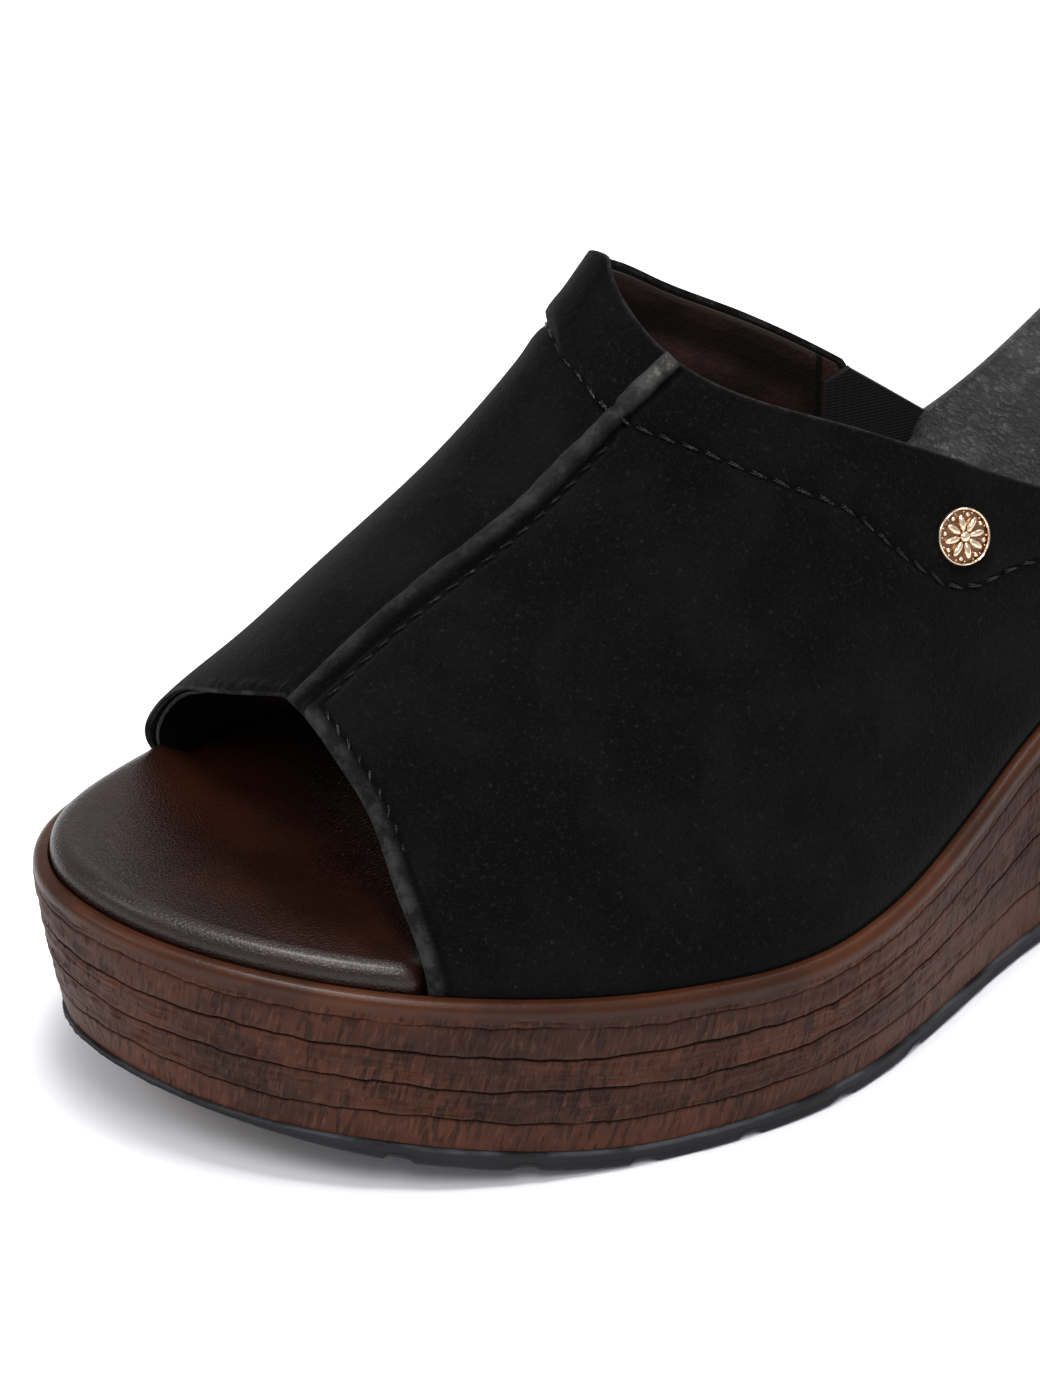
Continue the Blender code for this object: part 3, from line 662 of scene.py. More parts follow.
def badge_metal():
    """Rose gold, polished where it stands up, with painted shade and dark reflection in its sunk
    parts.
    """
    f = Finish("rose_gold", Metallic=1.0)
    sunk, _, _ = f.lay()
    cloud = f.noise(1400, detail=3)
    bright = f.blend(cloud, (0.66, 0.46, 0.31), (0.93, 0.78, 0.62))
    # Painted shade and reflection: dark brown in the sunk parts.
    base = f.blend(sunk * 0.85, bright, (0.17, 0.070, 0.028))
    return f.set(Base_Color=base, Roughness=0.13 + cloud * 0.10,
                 Normal=f.bump(f.noise(2500, detail=2), 0.00003, 0.5))


# The platform

# Rows of the recess and the rolled rim, which hold true heights and not shares
RIM_ROWS = 9

# Layer lines down the side: share of the height at heel, waist and forefoot, where each
# starts and is whole, and its strength at heel, waist and forefoot.
LAYER_LINES = (
    (0.045, 0.070, 0.095, 2.00, 1.90, 0.50, 0.55, 0.45),
    (0.150, 0.215, 0.308, 2.00, 1.90, 0.75, 0.60, 1.00),
    (0.270, 0.345, 0.430, 0.50, 0.38, 0.70, 0.40, 0.00),
    (0.400, 0.480, 0.550, 2.00, 1.90, 1.00, 1.00, 0.85),
    (0.560, 0.620, 0.670, 0.50, 0.38, 0.60, 0.30, 0.00),
    (0.720, 0.765, 0.790, 2.00, 1.90, 0.70, 0.60, 0.70),
)


def platform_rows(angles, run):
    """Inset, height and notes of each row of points, from the recess down to the base."""
    along = (1 - np.cos(angles)) / 2
    taper = lower_inset(along)
    top = rim_height(along) - RIM_ROUND
    base = sole_seam(along)
    tall = top - base
    zero = np.zeros_like(angles)
    rows = [
        (zero + RIM_WIDTH, rim_height(along) - RECESS_DEPTH, (zero, zero, zero + 1)),
        (zero + RIM_WIDTH, rim_height(along) - 0.0003, (zero, zero, zero + 1)),
        (zero + RIM_WIDTH - 0.0002, rim_height(along), (zero, zero, zero + 1)),
    ]
    for turn in (75, 60, 45, 30, 15, 0):
        across = RIM_ROUND * (1 - math.sin(math.radians(90 - turn)))
        up = RIM_ROUND * (1 - math.sin(math.radians(turn)))
        rows.append((zero + across, rim_height(along) - up, (zero, zero, zero + 1)))
    shares = []
    for number, line in enumerate(LAYER_LINES):
        share = Steady((0.10, 0.48, 0.72), line[:3])(along)
        shown = np.clip((line[3] - along) / (line[3] - line[4]), 0, 1)
        strength = shown * Steady((0.10, 0.48, 0.72), line[5:])(along)
        wander = 0.40 * MM * ripple(run * 130, 11 + number)
        wander = wander + 0.16 * MM * ripple(run * 900, 31 + number)
        broken = smoothstep(ripple(run * 170, 51 + number) + 1.1 * strength, -0.2, 0.5)
        shares.append((share + wander / tall, strength * (0.35 + 0.65 * broken)))
    previous = zero
    for number, (share, strength) in enumerate(shares):
        half = MM * (0.52 + 0.18 * ripple(run * 260, 91 + number)) / tall
        for step in (0.12, 0.35, 0.6, 0.85):
            between = previous + (share - half - previous) * step
            plain = max(0.0, 1 - step * 1.15) if number == 0 else 0.0
            rows.append((between, None, (zero, zero + number, zero + plain)))
        for offset in (-1.0, -0.5, -0.22, 0.0, 0.22, 0.5, 1.0):
            depth = max(0.0, 1 - abs(offset) * 1.9) ** 0.8
            mask = strength * depth
            tell = number + (1.0 if offset > 0 else 0.0)
            rows.append((share + half * offset, 0.50 * MM * mask, (mask, zero + tell, zero)))
        previous = share + half
    for step in (0.25, 0.5, 0.75, 0.93, 1.0):
        rows.append((previous + (1 - previous) * step, None, (zero, zero + 6, zero)))
    return rows, taper, top, base, along


def make_platform(finish):
    angles = mirrored_angles(330)
    run = np.r_[0, np.cumsum(np.linalg.norm(np.diff(outline(angles), axis=0), axis=1))]
    rows, taper, top, base, along = platform_rows(angles, run)
    from_heel = np.minimum(run, run[-1] - run)
    points, notes, ways = [], [], []
    for number, (first, second, lay) in enumerate(rows):
        if number < RIM_ROWS:
            inset, height = first, second
        else:
            puff = 0.22 * MM * ripple(run * 300 + number * 1.3, 71 + int(lay[1][0]))
            cut = second if second is not None else -puff * (1 if 0.02 < first[0] < 0.97 else 0)
            inset = taper * np.clip(first, 0, 1) ** 1.4 + cut
            height = top + (base - top) * first
        plan = outline(angles, inset)
        place = along_of(plan[:, 1])
        if number < RIM_ROWS:
            height = height + rim_height(place) - rim_height(along)
        points.append(np.concatenate([plan, height[:, None]], 1))
        notes.append(np.stack(lay, -1))
        ways.append(np.stack([from_heel, top - height, 0 * run], -1))
    spine = middle_line(along)
    recess, base_edge = points[0][:, :2], points[-1][:, :2]
    for share in (0.12, 0.40, 0.70, 1.0):
        plan = recess + (spine - recess) * share
        height = rim_height(along_of(plan[:, 1])) - RECESS_DEPTH
        points.insert(0, np.concatenate([plan, height[:, None]], 1))
        plan = base_edge + (spine - base_edge) * share
        height = sole_seam(along_of(plan[:, 1]))
        points.append(np.concatenate([plan, height[:, None]], 1))
        notes = [notes[0], *notes, notes[-1]]
        ways = [ways[0], *ways, ways[-1]]
    bm = field(np.array(points), wrap=True, lay=np.array(notes), way=np.array(ways))
    made = piece("platform_layers", outward(bm), finish, smooth=50)
    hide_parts("platform")


def make_outsole(finish):
    """The rubber sole, with shallow channels across it that show as nicks along its side."""
    angles = mirrored_angles(400)
    along = (1 - np.cos(angles)) / 2
    inset, seam, floor = lower_inset(along), sole_seam(along), underside(along)
    tall = seam - floor
    channel = np.zeros_like(along)
    for place in CHANNELS:
        gap = np.abs(along - place) * SOLE_LENGTH
        channel = np.maximum(channel, smoothstep(CHANNEL_WIDTH / 2 + 0.0004 - gap, 0, 0.0008))
    nick = 0.0006 * channel * (tall > 0.002)
    swell = 0.00012 * ripple(angles * 60, 3)
    spine = middle_line(along)
    edge = outline(angles, inset)
    rows = [
        (spine, seam - 0.0002),
        (edge + (spine - edge) * 0.06, seam - 0.0002),
        (outline(angles, inset + 0.0001), seam - 0.00015),
        (outline(angles, inset - OUTSOLE_ROUND * 0.8 + swell), seam - tall * 0.12),
        (outline(angles, inset - OUTSOLE_ROUND + swell), seam - tall * 0.25),
        (outline(angles, inset - OUTSOLE_ROUND * 0.6 + swell), seam - tall * 0.45),
        (outline(angles, inset - OUTSOLE_ROUND * 0.5 + swell), seam - tall * 0.62 + nick * 0.3),
        (outline(angles, inset - OUTSOLE_ROUND * 0.8 + swell), floor + tall * 0.22 + nick),
        (outline(angles, inset - OUTSOLE_ROUND * 0.4), floor + tall * 0.07 + nick),
        (outline(angles, inset + 0.0004), floor + nick),
    ]
    for share in (0.06, 0.12, 0.3, 0.6, 1.0):
        rows.append((edge + (spine - edge) * share, floor + CHANNEL_DEPTH * channel))
    points = [np.concatenate([plan, height[:, None]], 1) for plan, height in rows]
    # The top rows of the side are marked for the painted highlight line.
    notes = [np.outer(0 * angles + (number in (2, 3)), (1, 0, 0)) for number in range(len(rows))]
    bm = field(np.array(points), wrap=True, lay=np.array(notes))
    made = piece("rubber_outsole", outward(bm), finish, smooth=50)
    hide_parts("outsole")


# The footbed

def footbed_bm():
    """The whole cushioned footbed as one closed form, before it is parted in two."""
    angles = mirrored_angles(230)
    side = np.where(np.sin(angles) >= 0, 1, -1)
    deep = outline(angles, RIM_WIDTH + GAP + 0.0021 + 0.00045)
    place = along_of(deep[:, 1])
    front = np.where(side > 0, toe_edge(0.0), toe_edge(1.0))
    back = np.where(side > 0, collar_edge(0.0), GORE_TUCK)
    ramp = 0.0024 / SOLE_LENGTH
    pressed = smoothstep(front + ramp * 0.2 - place, 0, ramp)
    pressed *= smoothstep(place - (back - ramp * 0.4), 0, ramp)
    edge = outline(angles, RIM_WIDTH + 0.00012 + pressed * 0.0031)
    spine = middle_line((1 - np.cos(angles)) / 2)
    reach = np.linalg.norm(spine - edge, axis=1)
    sections = [(0.0, -RECESS_DEPTH + GAP), (0.0, -0.0012), (0.0, INSOLE_RISE - INSOLE_ROUND)]
    for turn in range(12, 91, 13):
        across = INSOLE_ROUND * (1 - math.cos(math.radians(turn)))
        up = INSOLE_ROUND * (1 - math.sin(math.radians(turn)))
        sections.append((across, INSOLE_RISE - up))
    points, notes = [], []
    for across, up in sections:
        points.append((across / reach, up, across))
    for share in np.linspace(0.10, 1.0, 19):
        dish = INSOLE_DISH * (1 - np.cos(math.pi * share)) / 2
        points.append((np.maximum(share, 0.085), INSOLE_RISE - dish, share * reach))
    rows = []
    for number, (share, up, inwards) in enumerate(points):
        plan = edge + (spine - edge) * np.asarray(share)[..., None] * np.ones((len(angles), 1))
        here = along_of(plan[:, 1])
        base = rim_height(here)
        sunk = 0.0011 * pressed * np.exp(-(np.asarray(inwards) / 0.0035) ** 2) * (number > 1)
        raised = HEEL_PAD * smoothstep(INSOLE_SPLIT - here, 0.0, 0.08) * (up > -0.002)
        rows.append(np.concatenate([plan, (base + up - sunk + raised)[:, None]], 1))
        notes.append(np.stack([pressed, inwards * 1000 + 0 * pressed, 0 * pressed], -1))
    bm = field(np.array(rows), wrap=True, lay=np.array(notes))
    fill_holes(bm)
    return outward(bm)


def parted(bm, low, high):
    """Cuts the form across at the two places that lie inside it, and closes the cuts."""
    for along, normal, wanted in ((low, 1, low > 0), (high, -1, high < 1)):
        if not wanted:
            continue
        parts = list(bm.verts) + list(bm.edges) + list(bm.faces)
        cut = bmesh.ops.bisect_plane(
            bm, geom=parts, dist=1e-6, plane_co=(0, y_of(along), 0),
            plane_no=(0, normal, 0), clear_outer=True,
        )
        rim = [g for g in cut["geom_cut"] if isinstance(g, bmesh.types.BMEdge)]
        bmesh.ops.holes_fill(bm, edges=rim, sides=0)
    return bm


def make_footbed(toe_finish, heel_finish):
    join = GAP / 2 / SOLE_LENGTH
    toe = parted(footbed_bm(), INSOLE_SPLIT + join, 1.0)
    made = piece("toe_cover", toe, toe_finish, smooth=60)
    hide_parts("insole_toe")
    heel = parted(footbed_bm(), 0.0, INSOLE_SPLIT - join)
    made = piece("heel_cover", heel, heel_finish, smooth=60)
    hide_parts("insole_heel")


# The upper

def spaced(path, pitch, first=0.0, last=0.0):
    """Points at an even pitch along a path of (along, turn) pairs, on the last."""
    path = np.asarray(path, float)
    knots = np.r_[0, np.cumsum(np.linalg.norm(np.diff(last_point(*path.T), axis=0), axis=1))]
    lines = [Smooth(knots, path[:, k]) for k in (0, 1)]
    dense = np.linspace(0, knots[-1], 1200)
    spots = np.stack([line(dense) for line in lines], 1)
    run = np.r_[0, np.cumsum(np.linalg.norm(np.diff(last_point(*spots.T), axis=0), axis=1))]
    count = max(2, int(round((run[-1] - first - last) / pitch)))
    wanted = np.linspace(first, run[-1] - last, count + 1)
    return np.stack([np.interp(wanted, run, spots[:, k]) for k in (0, 1)], 1)


def beside(along, turn, towards_along, towards_turn, distance):
    """Moves places on the last sideways by a true distance in metres."""
    here = last_point(along, turn)
    step = 1e-3
    moved = last_point(along + towards_along * step, turn + towards_turn * step)
    metres = np.linalg.norm(moved - here, axis=-1) / step
    return along + towards_along * distance / metres, turn + towards_turn * distance / metres


def seam_line(count=60):
    step = np.linspace(0, 1, count)
    turn = seam_turn(step)
    front, back = toe_edge(turn), collar_edge(turn)
    return front + (back - front) * step, turn


def stitch_paths():
    """The rows of stitches: beside the seam, round the toe opening and below the collar."""
    along, turn = seam_line()
    side = beside(along, turn, 0.0, -1.0, np.linspace(0.0033, 0.0023, len(turn)))
    seam_row = np.stack(side, 1)[2:]
    turns = np.linspace(0.02, float(side[1][2]), 40)
    outer_opening = np.stack(beside(toe_edge(turns), turns, -1.0, 0.0, 0.0026), 1)
    return {
        "seam": seam_row[:48],
        "toe_opening": outer_opening,
        "collar": np.array(COLLAR_STITCHES),
    }


PATHS = stitch_paths()
PATH_POINTS = [last_point(*spaced(path, 0.0008).T) for path in PATHS.values()]
SEAM_FOOT = [last_point(*beside(*seam_line(120), 0.0, -1.0, 0.0020))]
SEAM_BACK = [last_point(*beside(*seam_line(120), 0.0, 1.0, 0.0016))]


def nearest(points, lines):
    """Distance from each point to the nearest point of any line."""
    flat = points.reshape(-1, 3)
    best = np.full(len(flat), 1.0)
    for line in lines:
        for start in range(0, len(flat), 4000):
            part = flat[start : start + 4000]
            gap = np.linalg.norm(part[:, None] - line[None], axis=2).min(1)
            best[start : start + 4000] = np.minimum(best[start : start + 4000], gap)
    return best.reshape(points.shape[:-1])


# Soft dents and swellings of the leather: along, turn, reach in mm, height in mm.
DENTS = (
    (0.700, 0.300, 14, -0.35),
    (0.640, 0.200, 12, 0.30),
    (0.790, 0.180, 16, 0.35),
    (0.560, 0.120, 11, -0.30),
    (0.470, 0.060, 13, 0.30),
    (0.760, 0.520, 12, -0.30),
    (0.690, 0.620, 14, 0.30),
    (0.600, 0.780, 14, -0.30),
    (0.872, 0.820, 11, 1.60),
)


def dented(points):
    """How far the soft dents and swellings lie off the last, in mm."""
    relief = np.zeros(points.shape[:-1])
    for place, round_at, reach, depth in DENTS:
        gap = np.linalg.norm(points - last_point(place, round_at), axis=-1) / MM
        relief = relief + depth * np.exp(-((gap / reach) ** 2))
    return relief


def skin_relief(points, turn):
    """How far the leather stands off the last, and the notes its finish reads."""
    height = (points[..., 2] - rim_height(along_of(points[..., 1]))) / MM
    bulge = 1.25 * np.clip(height, 0, None) / 3.2 * np.exp(1 - np.clip(height, 0, None) / 3.2)
    relief = bulge * (turn > -0.001) * (turn < 1.001) + dented(points)
    stitch = nearest(points, PATH_POINTS) / MM
    relief = relief - 0.40 * np.exp(-((stitch / 0.65) ** 2))
    relief = relief + 0.20 * np.exp(-(((stitch - 2.6) / 1.7) ** 2))
    foot, back = nearest(points, SEAM_FOOT) / MM, nearest(points, SEAM_BACK) / MM
    relief = relief - 0.55 * np.exp(-((foot / 0.7) ** 2)) - 0.25 * np.exp(-((back / 0.7) ** 2))
    # The second value is the distance to the nearest stitch or to the seam ridge's foot, where the
    # finish paints shade.
    return relief, np.minimum(stitch, foot + 0.1)


def collar_band(turn, gap):
    """How far the stitched band under the collar stands off the last, in mm."""
    row = np.array(COLLAR_STITCHES)
    stitched = last_point(np.interp(turn, row[:, 1], row[:, 0]), turn)
    reach = np.linalg.norm(stitched - last_point(collar_edge(turn), turn), axis=-1) / MM
    crown = smoothstep(turn, 0.42, 0.54) * smoothstep(0.95 - turn, 0, 0.12)
    return (0.25 + 0.55 * crown) * smoothstep(reach - 0.2 - gap, 0, 1.3)


def panel(name, low_turn, high_turn, columns, rows, finish, outer):
    """One panel of the upper between two lines that run from toe opening to collar."""
    share = np.linspace(0, 1, columns)[None, :]
    guess = low_turn(0.5) + (high_turn(0.5) - low_turn(0.5)) * share
    lengths = 1.1 * SOLE_LENGTH * (toe_edge(guess) - np.maximum(collar_edge(guess), 0.43))
    beyond = lengths[:, :1] if outer else lengths[:, -1:]
    lengths = np.concatenate([beyond, lengths] if outer else [lengths, beyond], 1)
    near = np.array((0.0, 0.05, 0.17, 0.36, 0.62, 0.95, 1.35, 1.85))[:, None] * MM / lengths
    middle = near[-1:] + (1 - 2 * near[-1:]) * np.linspace(0, 1, rows)[1:-1, None]
    steps = np.concatenate([near, middle, 1 - near[::-1]])
    low, high = low_turn(steps), high_turn(steps)
    if outer:
        share = np.concatenate([np.full((1, 1), -0.012), share], 1)
    else:
        share = np.concatenate([share, np.full((1, 1), 1.012)], 1)
    turn = low + (high - low) * share
    below = turn < 0 if outer else turn > 1
    turn = np.where(below, -0.8 if outer else 1.8, turn)
    front, back = toe_edge(np.clip(turn, 0, 1)), collar_edge(np.clip(turn, 0, 1))
    if not outer:
        back = np.maximum(back, PANEL_END)
    along = front + (back - front) * steps
    points = last_point(along, turn)
    normal = last_normal(along, turn)
    relief, stitch = skin_relief(points, turn)
    toe_gap = np.linalg.norm(points - points[:1], axis=-1) / MM
    collar_gap = np.linalg.norm(points - points[-1:], axis=-1) / MM
    ends = np.minimum(toe_gap * (1.0 if outer else 4.0), collar_gap * 2.4 + 1.1)
    for gap, fold in ((toe_gap, 0.9 if outer else 0.3), (collar_gap, 0.7 if outer else 0.5)):
        relief = relief - (fold - np.sqrt(fold**2 - (fold - np.clip(gap, 0, fold)) ** 2))
    lumps = (0.34 + 0.22 * ripple(turn * 75, 91)) * smoothstep(0.78 - turn, 0, 0.2)
    relief = relief + lumps * np.exp(-(((toe_gap - 1.35) / 0.9) ** 2))
    relief = relief + collar_band(np.clip(turn, 0, 1), collar_gap)
    points = points + normal * (relief * MM)[..., None]
    raw = 1.25 * (toe_gap < 0.3) * smoothstep(turn, 0.78, 0.88)
    notes = np.stack([stitch, ends, raw], -1)
    row, column = points.shape[0] // 2, points.shape[1] // 2
    bm = field(points, facing=normal[row, column], lay=notes)
    made = piece(name, bm, finish, smooth=None)
    thicken(made, OUTER_WALL if outer else INNER_WALL, 0.0002)
    return made


def thicken(made, wall, rounding):
    """Gives a skin its wall, inwards, with rounded edges."""
    solid = made.modifiers.new("wall", "SOLIDIFY")
    solid.thickness = wall
    solid.offset = -1.0
    solid.use_even_offset = False
    soft = made.modifiers.new("rounding", "BEVEL")
    soft.width = rounding
    soft.segments = 3
    soft.limit_method = "ANGLE"
    soft.angle_limit = math.radians(55)
    soft.harden_normals = False


def make_panels(finish):
    outer = panel(
        "outer_panel", lambda s: 0 * s, lambda s: seam_turn(s) + 0.002, 180, 170, finish, True
    )
    panel(
        "inner_panel", lambda s: seam_turn(s) + 0.003, lambda s: 0 * s + 1.0, 140, 150, finish, False
    )
    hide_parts("upper")


def make_lining(finish):
    """Brown leather inside the upper, cut back from its edges."""
    steps = np.linspace(0, 1, 90)[:, None]
    turn = np.linspace(0.0, 1.0, 150)[None, :] + 0 * steps
    front, back = toe_edge(turn), np.maximum(collar_edge(turn), np.where(turn > 0.9, PANEL_END, 0))
    front = front - (0.0012 - 0.0010 * smoothstep(turn, 0.66, 0.74)) / SOLE_LENGTH
    back = back + 0.0009 / SOLE_LENGTH
    along = front + (back - front) * steps
    ends = np.linalg.norm(last_point(along, turn) - last_point(along[-1:], turn[-1:]), axis=-1) / MM
    wall = INNER_WALL + (OUTER_WALL - INNER_WALL) * smoothstep(0.47 - turn, 0, 0.06)
    relief = collar_band(turn, ends + 3.0) + dented(last_point(along, turn))
    points = skin(along, turn, relief * MM - wall - 0.00003)
    from_toe = np.linalg.norm(points - points[:1], axis=-1) / MM
    # The shade note paints shade inside the toe; a negative value marks the pale raw corner instead.
    shade = smoothstep(26 - from_toe, 0, 14)
    corner = np.exp(-(((turn - CORNER_TURN) / 0.013) ** 2)) * (ends < 1.3)
    shade = np.where(corner > 0.3, -corner, shade)
    rear = np.where(turn > 0.85, (along - PANEL_END) * SOLE_LENGTH / MM, 99.0)
    outwards = last_normal(along[45, 75], turn[45, 75])
    bm = field(points, facing=outwards, lay=np.stack([rear, ends, shade], -1))
    made = piece("lining", bm, finish, smooth=None)
    thicken(made, 0.0005, 0.00015)


# Section of the seam's ridge, in shares of its width and height: it lies down softly on
# the inner side and drops steeply on the outer side.
RIDGE = np.array((
    (-1.65, -0.40), (-1.40, -0.02), (-1.10, 0.38), (-0.70, 0.72), (-0.25, 0.94), (0.20, 1.02),
    (0.60, 0.93), (0.88, 0.66), (1.00, 0.25), (1.00, -0.25), (0.60, -0.60), (-0.60, -0.65),
    (-1.30, -0.60), (-1.65, -0.40),
))


def make_seam_roll(finish):
    """The two panels' edges, turned up and sewn into a soft ridge down the front."""
    along, turn = seam_line(300)
    along, turn = beside(along, turn, 0.0, -1.0, 0.0004)
    centre = skin(along, turn, 0.0)
    normal = last_normal(along, turn)
    length = np.gradient(centre, axis=0)
    length /= np.linalg.norm(length, axis=1, keepdims=True)
    across = np.cross(length, normal)
    outer_side = last_point(along, turn - 0.004) - last_point(along, turn)
    across *= np.sign((across * outer_side).sum(1))[:, None]
    run = np.r_[0, np.cumsum(np.linalg.norm(np.diff(centre, axis=0), axis=1))]
    share = run / run[-1]
    crossing = np.exp(-(((run - run[-1] + 0.0098) / 0.0007) ** 2))
    width = MM * (1.00 + 0.22 * share + 0.13 * ripple(run * 300, 5)) * (1 - 0.22 * crossing)
    rise = MM * (1.30 + 0.20 * share + 0.16 * ripple(run * 380, 6)) * (1 - 0.55 * crossing)
    sway = MM * 0.16 * ripple(run * 170, 8)
    count = len(RIDGE)
    section = [Smooth(range(count), RIDGE[:, k]) for k in (0, 1)]
    rows, notes = [], []
    for number, step in enumerate(np.linspace(0, count - 1, 40)):
        side, up = [float(line(step)) for line in section]
        rough = 0.11 * MM * ripple(run * 1500 + number, 120 + number // 2) * (up > 0.1)
        offset = width * side + sway
        height = rise * up + rough
        rows.append(centre + across * offset[:, None] + normal * height[:, None])
        # The ridge's upper side is marked paler: partly worn, raw fibres, most at its end, partly a
        # painted highlight.
        above = max(0.0, up)
        fuzz = above * (0.30 + 0.45 * share) + 1.1 * above * smoothstep(share, 0.86, 0.99)
        notes.append(np.stack([np.full_like(run, 9.0), np.full_like(run, 9.0), fuzz], -1))
    bm = field(np.array(rows), wrap=True, lay=np.array(notes))
    fill_holes(bm)
    piece("front_seam", outward(bm), finish, smooth=70)


# Each row's pitch, slant, and half the length and width of its threads
STITCHES = {
    "seam": (0.0029, 0.20, 0.00105, 0.00011),
    "toe_opening": (0.0027, 0.45, 0.00095, 0.00010),
    "collar": (0.0032, 0.15, 0.00128, 0.00015),
}


def make_stitches(finish):
    """Short twisted threads, each sunk at its ends, along every row."""
    bm = bmesh.new()
    dice = np.random.default_rng(7)
    for name, path in PATHS.items():
        pitch, slant, half, thick = STITCHES[name]
        spots = spaced(path, pitch, 0.0012, 0.0006)
        middle = (spots[1:] + spots[:-1]) / 2
        here, normal = last_point(*middle.T), last_normal(*middle.T)
        ahead = last_point(*spots[1:].T) - last_point(*spots[:-1].T)
        for place, up, run in zip(here, normal, ahead):
            forward = Vector(run).normalized()
            lifted = (Vector(up) - forward * forward.dot(Vector(up))).normalized()
            where = Vector(place) + lifted * (near_seam(place) - 0.00008)
            turned = Matrix((forward, forward.cross(lifted), lifted)).transposed().to_4x4()
            tilt = slant + dice.uniform(-0.08, 0.08)
            strand = Matrix.Diagonal((half, thick, thick, 1)) @ Matrix.Rotation(math.pi / 2, 4, "Y")
            for ply in (-1, 1):
                lean = Matrix.Rotation(tilt + ply * 0.07, 4, "Z")
                lean = lean @ Matrix.Rotation(ply * 0.05, 4, "Y")
                aside = Matrix.Translation((0, ply * thick * 0.6, 0))
                spot = Matrix.Translation(where) @ turned @ lean @ aside @ strand
                bmesh.ops.create_uvsphere(bm, u_segments=7, v_segments=6, radius=1.0, matrix=spot)
    piece("stitching", bm, finish, smooth=None)


def near_seam(place):
    along, turn = seam_line(80)
    gap = np.linalg.norm(last_point(along, turn) - place, axis=1).min()
    return 0.0010 * math.exp(-((gap / 0.0013) ** 2))


def make_gore(finish):
    """Ribbed elastic from the inner panel's rear edge back to the footbed."""
    turn = np.linspace(GORE_TOP, 1.0, 30)[None, :]
    turn = np.concatenate([turn, np.full((1, 1), 1.9)], 1)
    steps = np.linspace(0, 1, 90)[:, None]
    start = PANEL_END + 0.0035 / SOLE_LENGTH
    down = np.clip((turn - GORE_TOP) / (1 - GORE_TOP), 0, 1)
    end = collar_edge(np.clip(turn - GORE_DROP * (1 - down**2), 0, 1))
    along = start + (np.minimum(end, PANEL_END + 0.0002) - start) * steps
    along = along + 0 * turn
    turn = turn + 0 * steps
    rib = 0.5 + 0.5 * np.cos(np.linalg.norm(last_point(along, 1.0 + 0 * turn)
                             - last_point(start, 1.0), axis=-1) / 0.00125 * math.tau)
    points = skin(along, turn, -0.0008 + 0.00005 * rib)
    outwards = last_normal(along[45, 15], turn[45, 15])
    bm = field(points, facing=outwards, lay=np.stack([rib, 0 * rib, 0 * rib], -1))
    made = piece("elastic_gore", bm, finish, smooth=None)
    thicken(made, 0.0009, 0.0003)
    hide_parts("side_gore")


def make_badge(finish):
    """A small stud with a thin rolled rim round a plain, deeply struck rosette."""
    profile = (
        (0.00000, -0.0004), (0.00300, -0.0004), (0.00375, -0.0002), (0.00390, 0.0003),
        (0.00390, 0.0008), (0.00382, 0.00110), (0.00368, 0.00122), (0.00354, 0.00110),
        (0.00346, 0.00085), (0.00340, 0.00060), (0.00200, 0.00068), (0.00000, 0.00075),
    )
    bm = bmesh.new()
    layer = bm.verts.layers.float_vector.new("lay")
    corners = [bm.verts.new((r, 0.0, z)) for r, z in profile]
    edges = [bm.edges.new(pair) for pair in zip(corners, corners[1:])]
    bmesh.ops.spin(bm, geom=corners + edges, cent=(0, 0, 0), axis=(0, 0, 1),
                   angle=math.tau, steps=72, use_merge=True)
    bmesh.ops.remove_doubles(bm, verts=bm.verts, dist=1e-6)
    outward(bm)
    for vert in bm.verts:
        sunk = vert.co.z > 0.0005 and vert.co.xy.length < 0.00348
        vert[layer] = (1.0 if sunk else 0.0, 0.0, 0.0)
    for count, radius, place, size in (
        (8, 0.00185, 0.00092, (0.00118, 0.00050, 0.00058)),
        (8, 0.00292, 0.00082, (0.00034, 0.00034, 0.00036)),
        (16, 0.00328, 0.00078, (0.00015, 0.00015, 0.00022)),
        (1, 0.0, 0.00112, (0.00072, 0.00072, 0.00052)),
    ):
        for number in range(count):
            shift = 0.5 if radius > 0.0025 else 0.0
            turn = Matrix.Rotation(math.tau * (number + shift) / count, 4, "Z")
            spot = turn @ Matrix.Translation((radius, 0, place)) @ Matrix.Diagonal((*size, 1))
            fine = 3 if count < 16 else 2
            bmesh.ops.create_icosphere(bm, subdivisions=fine, radius=1.0, matrix=spot)
    along, turn = BADGE_PLACE
    normal = Vector(last_normal(along, turn))
    facing = (normal + Vector(BADGE_LEAN)).normalized()
    place = Vector(last_point(along, turn)) + normal * 0.0004
    turned = facing.to_track_quat("Z", "Y").to_matrix().to_4x4()
    bmesh.ops.transform(bm, matrix=Matrix.Translation(place) @ turned, verts=bm.verts)
    made = piece("round_badge", bm, finish, smooth=45)
    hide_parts("badge")


# The studio

def make_floor():
    f = Finish("studio_floor", Roughness=0.9, Specular_IOR_Level=0.1)
    f.set(Base_Color=(0.92, 0.922, 0.945, 1.0))
    bm = bmesh.new()
    bmesh.ops.create_grid(bm, x_segments=1, y_segments=1, size=6.0)
    mesh = bpy.data.meshes.new("floor")
    bm.to_mesh(mesh)
    bm.free()
    mesh.materials.append(f.material)
    floor = bpy.data.objects.new("floor", mesh)
    bpy.context.scene.collection.objects.link(floor)


def aim(thing, place, target):
    thing.location = place
    thing.rotation_euler = (Vector(target) - Vector(place)).to_track_quat("-Z", "Y").to_euler()


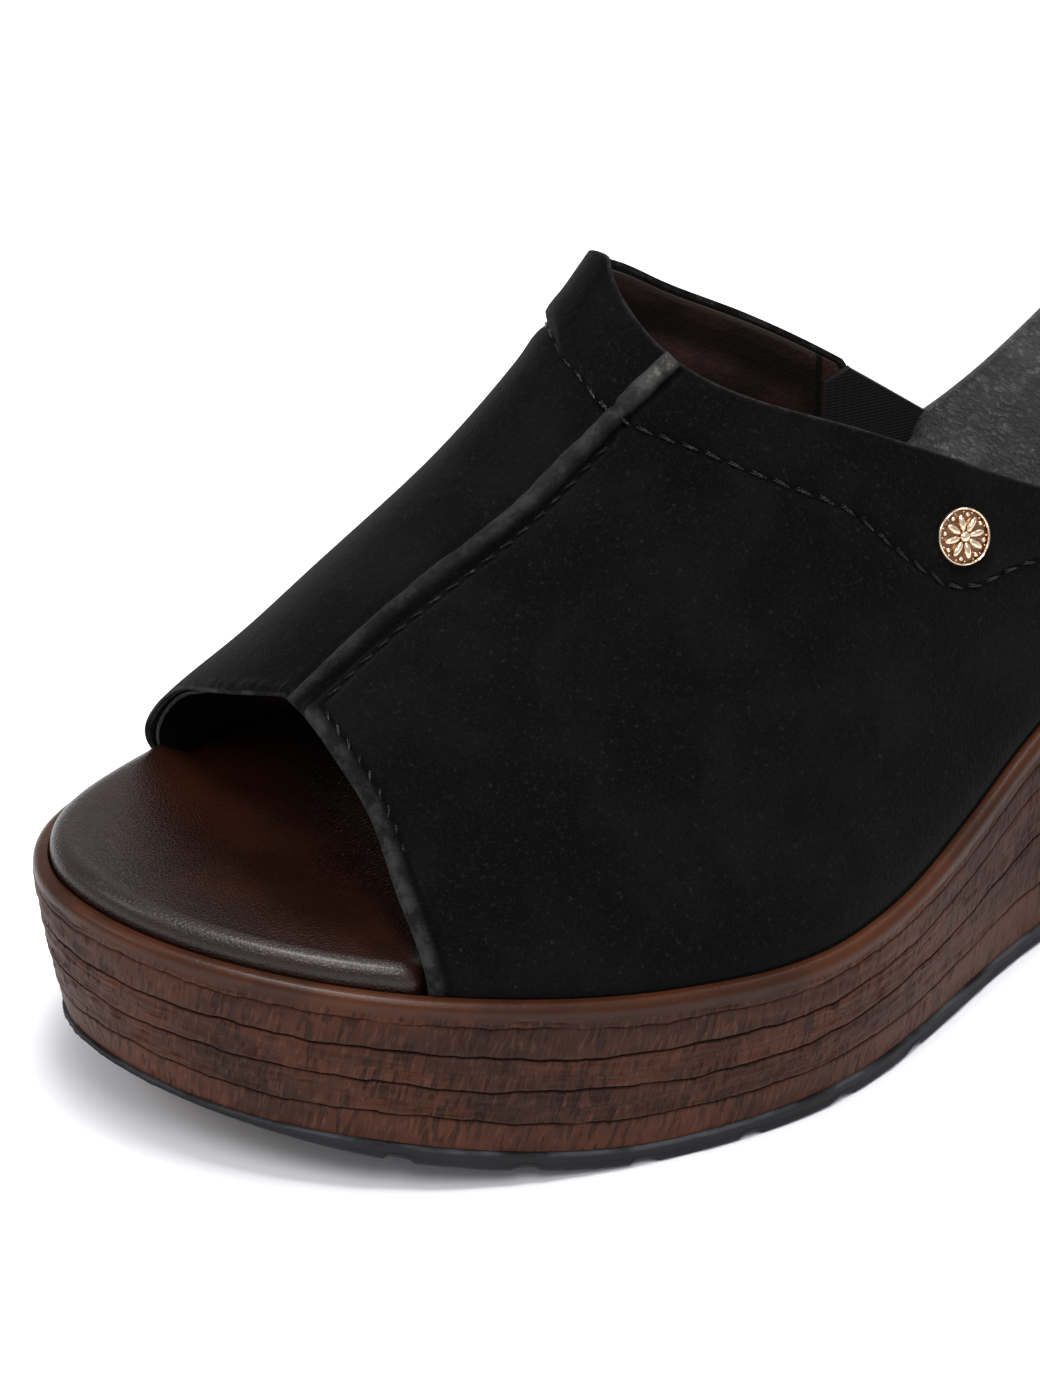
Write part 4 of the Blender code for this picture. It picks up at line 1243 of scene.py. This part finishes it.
def soft_light(name, place, target, size, power):
    data = bpy.data.lights.new(name, "AREA")
    data.shape = "RECTANGLE"
    data.size, data.size_y = size
    data.energy = power
    made = bpy.data.objects.new(name, data)
    bpy.context.scene.collection.objects.link(made)
    aim(made, place, target)


def make_studio():
    world = bpy.data.worlds.new("studio")
    world.use_nodes = True
    world.node_tree.nodes["Background"].inputs["Color"].default_value = (0.97, 0.98, 1.0, 1)
    world.node_tree.nodes["Background"].inputs["Strength"].default_value = 0.60
    bpy.context.scene.world = world
    bpy.context.scene.view_settings.view_transform = "Standard"
    soft_light("key", (0.16, -0.14, 1.28), (0, -0.06, 0.03), (0.36, 0.36), 12)
    soft_light("front", (-0.35, -0.95, 0.90), (0, -0.05, 0.03), (0.4, 0.4), 3)
    soft_light("side", (0.60, -0.42, 1.00), (0, 0.0, 0.03), (0.45, 0.45), 4.5)
    soft_light("back", (-0.30, 0.75, 1.00), (0, 0.0, 0.06), (0.5, 0.5), 3)


def make_camera():
    """A long lens above the outer side of the toe."""
    swing, lift = math.radians(54.372), math.radians(33.109)
    level = math.cos(lift)
    back = Vector((math.sin(swing) * level, -math.cos(swing) * level, math.sin(lift)))
    right = Vector((math.cos(swing), math.sin(swing), 0))
    up = back.cross(right)
    data = bpy.data.cameras.new("camera")
    data.lens = 187.42
    data.sensor_width = 36.0
    camera = bpy.data.objects.new("camera", data)
    bpy.context.scene.collection.objects.link(camera)
    turned = Matrix((right, up, back)).transposed().to_4x4()
    camera.matrix_world = Matrix.Translation((0.64479, -0.52021, 0.56234)) @ turned
    bpy.context.scene.camera = camera


def main():
    make_camera()
    make_studio()
    make_floor()
    fur = nubuck("black_nubuck")
    make_platform(wood_finish())
    make_outsole(rubber_finish())
    make_footbed(toe_leather(), heel_leather())
    make_panels(fur)
    make_lining(lining_leather())
    # A paler copy of the nubuck for the seam ridge: partly its brushed, worn nap, partly a painted
    # highlight on the raised ridge.
    make_seam_roll(nubuck("brushed_and_highlit_nubuck", 1.35))
    make_stitches(thread_finish())
    make_gore(elastic_finish())
    make_badge(badge_metal())


main()
